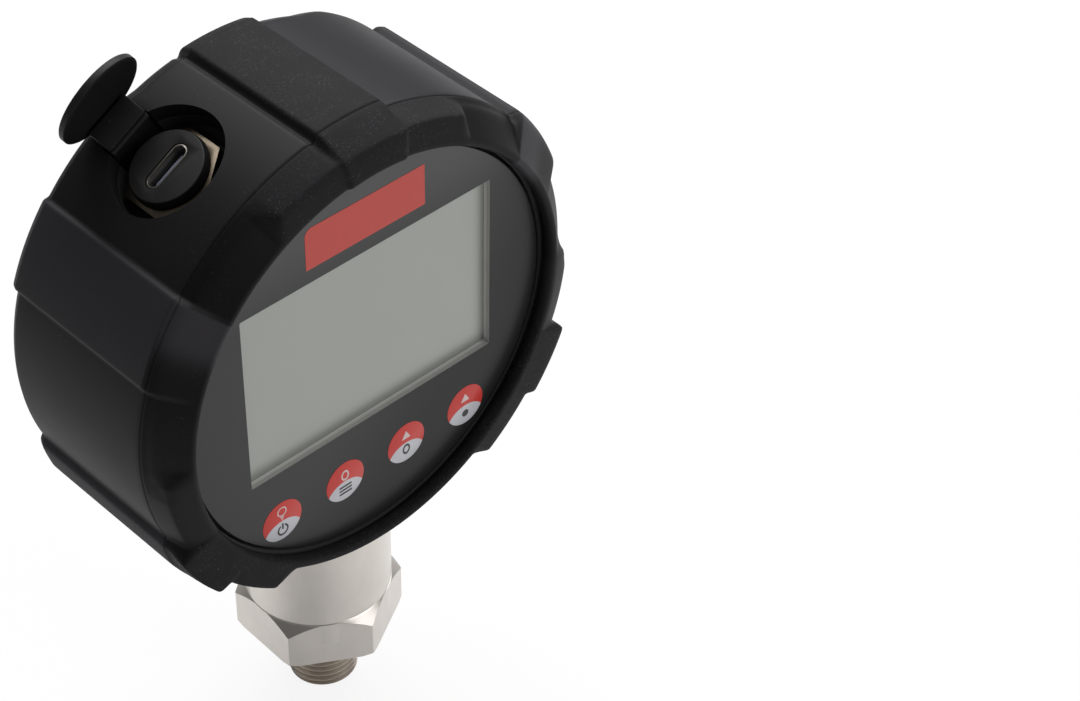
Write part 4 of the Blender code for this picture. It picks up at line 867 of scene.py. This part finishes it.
def loft_boot():
    """Extrude a ring along the boot's plain section, then move each ring panel by panel."""
    size = sizes()
    start = [(radius * MM, height * MM) for radius, height in boot_section(180.0)]
    centre = Vector((0.0, 0.0, size.dial_height))
    clear_selection()
    bpy.ops.mesh.primitive_circle_add(
        vertices=size.boot_columns,
        radius=start[0][0],
        fill_type="NOTHING",
        location=(0.0, -size.lens_setback - start[0][1], size.dial_height),
        rotation=(math.pi / 2.0, 0.0, 0.0),
    )
    shell = named("boot_shell")
    settle(shell)
    edit(shell, everything=True)
    for (radius, height), (new_radius, new_height) in zip(start, start[1:]):
        bpy.ops.mesh.extrude_edges_move(TRANSFORM_OT_translate={"value": (0.0, height - new_height, 0.0)})
        factor = new_radius / radius
        resize(factor, 1.0, factor, centre)
    close_tube()
    bpy.ops.mesh.select_mode(type="VERT")
    move_rings(shell, start, centre)
    face_outwards(shell)
    return shell


def move_rings(shell, start, centre):
    """Move each group of a ring's vertices to the section that its angle asks for."""
    mesh = bmesh.from_edit_mesh(shell.data)
    setback = sizes().lens_setback
    sections = {}
    groups = {}
    for vertex in mesh.verts:
        arm = vertex.co - centre
        radius = math.hypot(arm.x, arm.z)
        height = -setback - vertex.co.y
        misses = [(radius - other[0]) ** 2 + (height - other[1]) ** 2 for other in start]
        ring = misses.index(min(misses))
        angle = round(math.degrees(math.atan2(arm.x, arm.z)), 3)
        if angle not in sections:
            sections[angle] = boot_section(angle)
        wanted = sections[angle][ring]
        groups.setdefault((ring, round(wanted[0], 4), round(wanted[1], 4)), []).append(vertex.index)
    for (ring, radius, height), members in sorted(groups.items()):
        factor = radius * MM / start[ring][0]
        fall = start[ring][1] - height * MM
        if abs(factor - 1.0) < 1e-6 and abs(fall) < 1e-8:
            continue
        mesh = bmesh.from_edit_mesh(shell.data)
        mesh.verts.ensure_lookup_table()
        bpy.ops.mesh.select_all(action="DESELECT")
        for index in members:
            mesh.verts[index].select = True
        mesh.select_flush_mode()
        resize(factor, 1.0, factor, centre)
        bpy.ops.transform.translate(value=(0.0, fall, 0.0))


def cut_boot(shell):
    """Cut the port hole, the leg's slot and the stem's hole."""
    radius = in_mm(sizes().port_hole_radius)
    hole = turned("port_hole_cutter", [(radius, -4.5), (radius, 4.5)], 160)
    carve(shell, settle(hole, port_place()))
    slot = slab("leg_slot_cutter", 9.0, 6.2, 9.0, 0.4, 3, (0.0, 8.0, 0.0))
    carve(shell, settle(slot, port_place()))
    radius = in_mm(sizes().stem_hole_radius)
    carve(shell, turned("stem_hole_cutter", [(radius, 10.0), (radius, 40.0)], 128))


def lay_on_dial(piece, finish, spot=Matrix()):
    """Put a piece on the dial and give it its finish."""
    dress(settle(piece, dial_place() @ spot), finish, "gauge")


def window_bead(width, tall, rise_up):
    """A pale bead round the window's wall, where the film ends."""
    bead = slab("window_bead", width - 0.01, tall - 0.01, 0.14, 0.35, 4, (0.0, rise_up, -0.55))
    carve(bead, slab("bead_cutter", width - 0.13, tall - 0.13, 1.0, 0.3, 4, (0.0, rise_up, -0.55)))
    shade(bead, 30.0)
    lay_on_dial(bead, once("bead_pale", print_finish, (0.36, 0.34, 0.31, 1.0)))


def red_field():
    """The bare red field over the window, with a rounded upper left corner."""
    clear_selection()
    bpy.ops.mesh.primitive_plane_add(size=1.0)
    field = named("red_field")
    edit(field, everything=True)
    resize(25.2 * MM, 8.1 * MM, 1.0)
    move(-0.4, 28.55, 0.012)
    extrude_up(0.02)
    bevel_uprights(field, 0.01, 1.5, 6, lambda co: co.y > 28.0 * MM and co.x < 0.0)
    face_outwards(field)
    lay_on_dial(field, once("red_print", print_finish, tuple(colours().red)))


def printed_keys():
    """Four printed discs, with a plain symbol on each half."""
    size = sizes()
    radius = in_mm(size.key_radius)
    inks = (
        once("symbol_white", print_finish, (0.55, 0.45, 0.44, 1.0)),
        once("symbol_dark", print_finish, (0.03, 0.03, 0.03, 1.0)),
    )
    for number in range(4):
        spot = Matrix.Translation(((number - 1.5) * size.key_pitch, size.key_height, 0.0))
        disc = turned(f"key_disc_{number + 1}", [(radius, 0.005), (radius, 0.03), (radius - 0.06, 0.06)])
        shade(disc, 30.0)
        lay_on_dial(disc, once("key_print", key_finish), spot)
        for symbol, ink in zip(key_symbols(number), inks):
            lay_on_dial(symbol, ink, spot)


def key_symbols(number):
    """Return a key's two symbols: white on its red half, dark on its white half."""
    if number == 0:
        return lamp_mark(), power_mark()
    if number == 1:
        return ring_mark("ring_mark", 0.55, 0.85, 1.3, 1.35), bars_mark("menu_mark")
    if number == 2:
        return arrow_mark("swap_mark", 1.5), ring_mark("zero_mark", 0.5, 0.86, -1.55, 1.35)
    return arrow_mark("set_mark", 1.5), dot_mark("record_mark", 0.75, -1.9)


def ring_mark(name, inner, outer, rise_up, stretch=1.0, segments=40):
    """A thin ring, stretched upwards."""
    profile = [(inner, MARK_FOOT), (outer, MARK_FOOT), (outer, MARK_TOP), (inner, MARK_TOP)]
    mark = turned(name, profile, segments, True)
    return settle(mark, shift(y=rise_up) @ Matrix.Diagonal((1.0, stretch, 1.0, 1.0)))


def dot_mark(name, radius, rise_up):
    mark = turned(name, [(radius, MARK_FOOT), (radius, MARK_TOP)], 40)
    return settle(mark, shift(y=rise_up))


def bars_mark(name):
    """Three short bars, as a menu mark."""
    mark = slab(name, 2.8, 0.4, MARK_THICKNESS, 0.12, 2, (0.0, -1.9, 0.068))
    count = len(mark.data.vertices)
    for step in (-0.75, 0.75):
        edit(mark)
        pick(mark, lambda co: abs(co.y + 1.9 * MM) < 0.3 * MM)
        bpy.ops.mesh.duplicate_move(TRANSFORM_OT_translate={"value": (0.0, step * MM, 0.0)})
        bpy.ops.object.mode_set(mode="OBJECT")
    if len(mark.data.vertices) != 3 * count:
        raise RuntimeError("a bar of the menu mark was not copied")
    return mark


def arrow_mark(name, rise_up):
    """A small triangle with rounded corners."""
    mark = prism(name, 3, 1.15, MARK_FOOT, MARK_TOP)
    bevel_uprights(mark, 0.01, 0.18, 3)
    face_outwards(mark)
    return settle(mark, shift(y=rise_up))


def lamp_mark():
    """A round bulb with a short base."""
    bulb = ring_mark("lamp_mark", 0.78, 1.02, 2.1)
    for number, (width, drop) in enumerate(((0.8, 0.92), (0.55, 0.55), (0.22, 0.2))):
        place = (0.0, drop, MARK_MIDDLE)
        join(bulb, slab(f"lamp_base_{number}", width, 0.22, MARK_THICKNESS, 0.05, 2, place))
    return bulb


def power_mark():
    """A ring open at its top with an upright bar."""
    mark = ring_mark("power_mark", 0.84, 1.22, -2.1, segments=48)
    carve(mark, slab("power_gap", 0.85, 1.4, 1.0, 0.0, 1, (0.0, -1.1, 0.0)))
    join(mark, slab("power_bar", 0.36, 1.35, MARK_THICKNESS, 0.12, 2, (0.0, -1.3, MARK_MIDDLE)))
    return mark


class GAUGE_OT_front(Operator):
    """Turn the front panel, sink its window and lay the display, the red field and the keys on it"""

    bl_idname = "gauge.front"
    bl_label = "Front panel, display and keys"

    def execute(self, context):
        size = sizes()
        half = in_mm(size.lens_radius)
        thick = in_mm(size.lens_thickness)
        depth = in_mm(size.window_depth)
        width = in_mm(size.window_width)
        tall = in_mm(size.window_height)
        rise_up = in_mm(size.window_rise)
        profile = [(half - 0.3, -thick), (half, 0.3 - thick), (half, -0.35), (half - 0.35, 0.0)]
        panel = turned("front_panel", profile, 192)
        carve(panel, slab("window_cutter", width, tall, 2.0, 0.35, 4, (0.0, rise_up, 1.0 - depth)))
        shade(panel, 30.0)
        walls = []
        for polygon in panel.data.polygons:
            middle = polygon.center
            inside = abs(middle.x) < (width / 2.0 + 0.01) * MM
            inside = inside and abs(middle.y - rise_up * MM) < (tall / 2.0 + 0.01) * MM
            if inside and -depth * MM - 1e-6 < middle.z < -1e-6:
                walls.append(polygon.index)
        settle(panel, dial_place())
        dress(panel, once("panel_film", panel_finish), "gauge", "lens_panel")
        panel.data.materials.append(once("window_wall", wall_finish))
        for index in walls:
            panel.data.polygons[index].material_index = 1
        spot = (0.0, rise_up, -depth + 0.021)
        glass = slab("display_glass", width - 0.02, tall - 0.02, 0.04, 0.34, 4, spot)
        lay_on_dial(glass, once("display_glass_grey", display_finish))
        window_bead(width, tall, rise_up)
        red_field()
        printed_keys()
        return {"FINISHED"}


def milled_hexagon(high, neck):
    """A six-sided bar with rounded corners and a turned crown."""
    corner = sizes().across_flats / MM / math.sqrt(3.0)
    nut = prism("hexagon", 6, corner, 0.0, 1.6 * high)
    bevel_uprights(nut, 1.0, 0.22, 2)
    face_outwards(nut)
    nut.rotation_euler = (0.0, 0.0, math.radians(HEXAGON_TURN))
    settle(nut)
    drop = (corner - neck) * 1.05
    edge = corner + 0.05
    profile = [(corner - 0.9, 0.0), (edge, 0.5), (edge, high - drop), (neck - 0.8, high + 0.84)]
    carve(nut, turned("hexagon_crown", profile, 160), "INTERSECT")
    soften(nut, 0.12, 2, 20.0)
    return nut


def pipe_thread(root, crest, long):
    """A helical ridge made by the Screw modifier and trimmed to the thread's length."""
    pitch = sizes().thread_pitch / MM
    clear_selection()
    bpy.ops.mesh.primitive_plane_add(size=1.0, rotation=(math.pi / 2.0, 0.0, 0.0))
    ridge = named("thread_ridge")
    settle(ridge)
    edit(ridge, everything=True)
    depth = crest - root + 0.25
    low = -long - pitch
    resize(depth * MM, 1.0, 0.94 * pitch * MM)
    move(root - 0.25 + depth / 2.0, 0.0, low)
    pick(ridge, lambda co: co.x > (root + 0.1) * MM)
    resize(1.0, 1.0, 0.17, (0.0, 0.0, low * MM))
    bpy.ops.mesh.select_all(action="SELECT")
    bpy.ops.mesh.delete(type="ONLY_FACE")
    bpy.ops.object.mode_set(mode="OBJECT")
    apply_modifier(
        ridge,
        "SCREW",
        axis="Z",
        screw_offset=pitch * MM,
        iterations=int((long - 2.4) / pitch) + 2,
        steps=64,
        render_steps=64,
        use_merge_vertices=False,
    )
    edit(ridge, everything=True)
    bpy.ops.mesh.fill_holes(sides=4)
    face_outwards(ridge)
    profile = [(root - 0.5, -long + 0.05), (crest, -long + 1.05), (crest, -2.9), (root - 0.3, -1.9)]
    carve(ridge, turned("thread_envelope", profile, 128), "INTERSECT")
    shade(ridge, 30.0)
    return ridge


class GAUGE_OT_stem(Operator):
    """Turn the stem, mill its hexagon and cut its pipe thread"""

    bl_idname = "gauge.stem"
    bl_label = "Pressure stem"

    def execute(self, context):
        size = sizes()
        neck = size.neck_radius / MM
        relief = neck - 0.22
        bore = in_mm(size.bore_radius)
        crest = size.thread_radius / MM
        root = crest - in_mm(size.thread_depth)
        long = size.thread_length / MM
        high = size.hexagon_height / MM
        neck_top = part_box("stem_seal")[0].z / MM - 0.3
        profile = [
            (bore, 19.0), (bore, -long + 0.5), (bore + 0.5, -long), (root - 0.55, -long),
            (root, -long + 0.6), (root, -2.4), (root - 0.1, -1.8), (root - 0.1, high / 2.0),
            (neck - 0.02, high / 2.0), (neck, high / 2.0 + 0.4), (neck, high + 0.06),
            (relief, high + 0.12), (relief, high + 0.3), (neck, high + 0.4), (neck, neck_top - 0.3),
            (neck - 0.3, neck_top), (8.4, neck_top), (8.4, neck_top + 9.2), (8.2, neck_top + 9.4),
            (6.6, neck_top + 9.4), (6.6, neck_top + 0.2), (bore, neck_top + 0.2),
        ]
        bar = turned("stem_body", profile, 160, True)
        carve(bar, milled_hexagon(high, neck), "UNION")
        shade(bar, 25.0)
        apply_modifier(bar, "WEIGHTED_NORMAL", mode="FACE_AREA", weight=50, keep_sharp=True)
        join(bar, pipe_thread(root, crest, long))
        settle(bar)
        dress(bar, once("stem_steel", turned_steel_finish), "gauge", "pressure_stem")
        return {"FINISHED"}


class GAUGE_OT_port(Operator):
    """Make the charging port: its face, shell, tongue and hexagon head"""

    bl_idname = "gauge.port"
    bl_label = "Charging port"

    def execute(self, context):
        spot = socket_place()
        profile = [(5.2, -4.0), (6.9, -4.0), (6.9, -3.85), (6.62, -2.62), (6.5, -2.5)]
        face = turned("port_face_disc", profile)
        carve(face, stadium("face_slot_cutter", 9.0, 3.3, -12.0, 0.0))
        soften(face, 0.07, 2, 25.0)
        plastic = once("port_plastic_black", moulded_finish, (0.0065, 0.0065, 0.007, 1.0), 0.5, 5200.0)
        dress(settle(face, spot), plastic, "gauge", "port_face")
        shell = stadium("port_shell_liner", 8.7, 3.0, -10.5, -2.6)
        carve(shell, stadium("shell_cutter", 8.1, 2.4, -9.9, 0.0))
        soften(shell, 0.05)
        plate = once("port_plate", plated_finish, (0.30, 0.28, 0.25, 1.0), 0.3)
        dress(settle(shell, spot), plate, "gauge", "port_shell")
        tongue = slab("port_tongue_blade", 6.4, 0.7, 6.6, 0.2, 3, (0.0, 0.0, -7.3))
        soften(tongue, 0.08)
        grey = once("tongue_grey", moulded_finish, (0.2, 0.22, 0.3, 1.0), 0.35, 5200.0)
        dress(settle(tongue, spot), grey, "gauge", "port_tongue")
        nickel = once("nickel_brushed", plated_finish, tuple(colours().nickel), 0.26)
        dress(copied_node("port_body", "port_hexagon", 0.12), nickel, "gauge", "port_body")
        return {"FINISHED"}


def soft_strap():
    """The flat strap with a bead along each side and its knuckle."""
    strap = slab("cap_strap_soft", 8.4, 4.5, 1.2, 0.0, 1, (0.0, 2.25, 1.0))
    edit(strap)
    pick_edges(strap, 0, 1.0)
    bpy.ops.mesh.subdivide_edgering(number_cuts=6)
    edit(strap)
    pick(strap, lambda co: co.z > 1.5 * MM and abs(co.x) > 3.5 * MM)
    move(z=0.1)
    bpy.ops.object.mode_set(mode="OBJECT")
    soften(strap, 0.16, 3)
    knuckle = turned("cap_knuckle_soft", [(0.6, -4.17), (0.7, -4.07), (0.7, 4.07), (0.6, 4.17)], 32)
    carve(strap, settle(knuckle, Matrix.Rotation(math.pi / 2.0, 4, "Y")), "UNION")
    shade(strap, 35.0)
    return settle(strap, strap_place())


def soft_disc():
    """The round cap with a rolled rim."""
    profile = [
        (7.2, 0.12), (7.5, 0.0), (8.25, 0.0), (8.5, 0.2), (8.5, 1.1), (8.3, 1.3), (7.9, 1.3),
        (7.5, 1.18),
    ]
    disc = turned("port_cap_disc", profile, 128)
    shade(disc, 50.0)
    return settle(disc, cap_place())


class GAUGE_OT_cap(Operator):
    """Make the rubber cap: its ring, its strap and its disc"""

    bl_idname = "gauge.cap"
    bl_label = "Port cap"

    def execute(self, context):
        rubber = once("cap_rubber", rubber_finish)
        dress(copied_node("cap_ring", "cap_ring_soft", 0.1), rubber, "gauge", "cap_ring")
        dress(soft_strap(), rubber, "strap", "cap_strap")
        dress(soft_disc(), rubber, "cap", "port_cap")
        return {"FINISHED"}


class GAUGE_OT_back(Operator):
    """Round the edges of the rear cover and its screws"""

    bl_idname = "gauge.back"
    bl_label = "Rear cover and screws"

    def execute(self, context):
        black = once("cover_plastic", moulded_finish, (0.02, 0.02, 0.021, 1.0), 0.55, 2600.0)
        dress(copied_node("rear_cover", "rear_cover_shell", 0.15), black, "gauge", "rear_cover")
        steel = once("screw_steel", plated_finish, (0.32, 0.32, 0.33, 1.0), 0.3)
        for number in range(1, 5):
            screw = copied_node(f"rear_screw_{number}", f"rear_screw_soft_{number}", 0.06)
            dress(screw, steel, "gauge", f"rear_screw_{number}")
        return {"FINISHED"}


class GAUGE_OT_inside(Operator):
    """Give the pieces inside the case their finishes"""

    bl_idname = "gauge.inside"
    bl_label = "Inner pieces"

    def execute(self, context):
        black = (0.03, 0.03, 0.032, 1.0)
        plated = (0.4, 0.39, 0.37, 1.0)
        recipes = {
            "case_body": (moulded_finish, black, 0.55, 2400.0),
            "lens_gasket": (rubber_finish,),
            "cover_gasket": (rubber_finish,),
            "stem_seal": (rubber_finish,),
            "sensor_seal": (rubber_finish,),
            "display_frame": (moulded_finish, (0.05, 0.05, 0.05, 1.0), 0.5, 3000.0),
            "display_panel": (moulded_finish, tuple(colours().display), 0.2, 5000.0),
            "backlight_panel": (moulded_finish, (0.75, 0.75, 0.72, 1.0), 0.35, 4000.0),
            "main_board": (moulded_finish, (0.02, 0.11, 0.05, 1.0), 0.4, 3400.0),
            "key_switch_": (moulded_finish, (0.04, 0.04, 0.04, 1.0), 0.4, 3400.0),
            "battery_pack": (moulded_finish, (0.35, 0.36, 0.38, 1.0), 0.35, 1800.0),
            "battery_tray": (moulded_finish, black, 0.5, 2600.0),
            "sensor_cell": (turned_steel_finish,),
            "sensor_retainer": (plated_finish, plated),
            "stem_nut": (plated_finish, plated),
            "port_nut": (plated_finish, tuple(colours().nickel)),
            "board_screw_": (plated_finish, (0.32, 0.32, 0.33, 1.0)),
        }
        for node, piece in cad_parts.items():
            for start, recipe in recipes.items():
                if node.startswith(start):
                    made = once("inner_" + start.rstrip("_"), *recipe)
                    for slot in piece.material_slots:
                        slot.material = made
                    break
        return {"FINISHED"}


def lay_floor():
    """A wide plane at the stem's lower end, white to the camera and keeping the gauge's shadow."""
    clear_selection()
    bpy.ops.mesh.primitive_plane_add(size=6.0, location=(0.0, 0.0, CAD_BOUNDS[0][2] - 0.2 * MM))
    floor = named("floor")
    settle(floor)
    made = Finish("floor_pale", colours().floor, 0.9, Specular_IOR_Level=0.0)
    tree = made.tree
    rays = tree.nodes.new("ShaderNodeLightPath")
    seen = Wire(tree, rays.outputs["Is Camera Ray"])
    seen = seen.at_least(Wire(tree, rays.outputs["Is Glossy Ray"]) * 0.2)
    glow = made.node("ShaderNodeEmission", inputs={"Color": WHITE, "Strength": 1.0})
    pale = Wire(tree, made.shader.outputs[0])
    mix = made.node("ShaderNodeMixShader", inputs={0: seen * 0.88, 1: pale, 2: glow})
    feed(tree, tree.nodes["Material Output"].inputs["Surface"], mix)
    floor.data.materials.append(made.material)


def hang_lamp(name, spot, width, power):
    """A large soft lamp that points at the dial."""
    clear_selection()
    bpy.ops.object.light_add(type="AREA", location=spot)
    lamp = bpy.context.object
    lamp.name = name
    lamp.data.size = width
    lamp.data.energy = power
    aim = Vector((0.0, 0.0, sizes().dial_height)) - Vector(spot)
    lamp.rotation_euler = aim.to_track_quat("-Z", "Y").to_euler()


def light_world():
    """An even pale surround, white to the camera."""
    world = bpy.data.worlds.new("studio")
    bpy.context.scene.world = world
    world.use_nodes = True
    tree = world.node_tree
    ground = tree.nodes["Background"]
    ground.inputs["Color"].default_value = WHITE
    seen = Wire(tree, tree.nodes.new("ShaderNodeLightPath").outputs["Is Camera Ray"])
    feed(tree, ground.inputs["Strength"], seen * 0.8 + 0.2)


def set_camera():
    """The camera at the photograph's viewing angle."""
    clear_selection()
    bpy.ops.object.camera_add()
    camera = bpy.context.object
    camera.name = "camera"
    right = Vector((0.71600801, -0.697897, 0.01650198))
    up = Vector((0.4521217, 0.48160657, 0.75076034))
    turn = Matrix((right, up, right.cross(up))).transposed().to_4x4()
    camera.matrix_world = Matrix.Translation((-0.2152978, -0.2712248, 0.3680393)) @ turn
    camera.data.sensor_width = 36.0
    camera.data.lens = 89.17
    camera.data.clip_start = 0.01
    bpy.context.scene.camera = camera


class GAUGE_OT_stage(Operator):
    """Lay the pale floor, hang the soft lamps and set the camera"""

    bl_idname = "gauge.stage"
    bl_label = "Floor, lamps and camera"

    def execute(self, context):
        lay_floor()
        hang_lamp("lamp_above", (0.5, 0.4, 0.95), 1.1, 21.0)
        hang_lamp("lamp_front", (0.42, -1.0, 0.58), 0.8, 6.2)
        light_world()
        set_camera()
        context.scene.view_settings.view_transform = "Standard"
        return {"FINISHED"}


class GAUGE_PT_pieces(Panel):
    """List the gauge's sizes, colours and pieces"""

    bl_idname = "GAUGE_PT_pieces"
    bl_label = "Pressure gauge"
    bl_space_type = "VIEW_3D"
    bl_region_type = "UI"
    bl_category = "Gauge"

    def draw(self, context):
        layout = self.layout
        for group in (context.scene.gauge_sizes, context.scene.gauge_colours):
            column = layout.column(align=True)
            for name in group.__annotations__:
                column.prop(group, name)
        for operator in OPERATORS:
            layout.operator(operator.bl_idname)


OPERATORS = (
    GAUGE_OT_boot,
    GAUGE_OT_front,
    GAUGE_OT_stem,
    GAUGE_OT_port,
    GAUGE_OT_cap,
    GAUGE_OT_back,
    GAUGE_OT_inside,
    GAUGE_OT_stage,
)
CLASSES = (GaugeSizes, GaugeColours) + OPERATORS + (GAUGE_PT_pieces,)


def register():
    for kind in CLASSES:
        bpy.utils.register_class(kind)
    bpy.types.Scene.gauge_sizes = PointerProperty(type=GaugeSizes)
    bpy.types.Scene.gauge_colours = PointerProperty(type=GaugeColours)


def unregister():
    del bpy.types.Scene.gauge_colours
    del bpy.types.Scene.gauge_sizes
    for kind in reversed(CLASSES):
        bpy.utils.unregister_class(kind)


def main():
    register()
    bpy.ops.gauge.boot()
    bpy.ops.gauge.front()
    bpy.ops.gauge.stem()
    bpy.ops.gauge.port()
    bpy.ops.gauge.cap()
    bpy.ops.gauge.back()
    bpy.ops.gauge.inside()
    bpy.ops.gauge.stage()


if __name__ == "__main__":
    main()
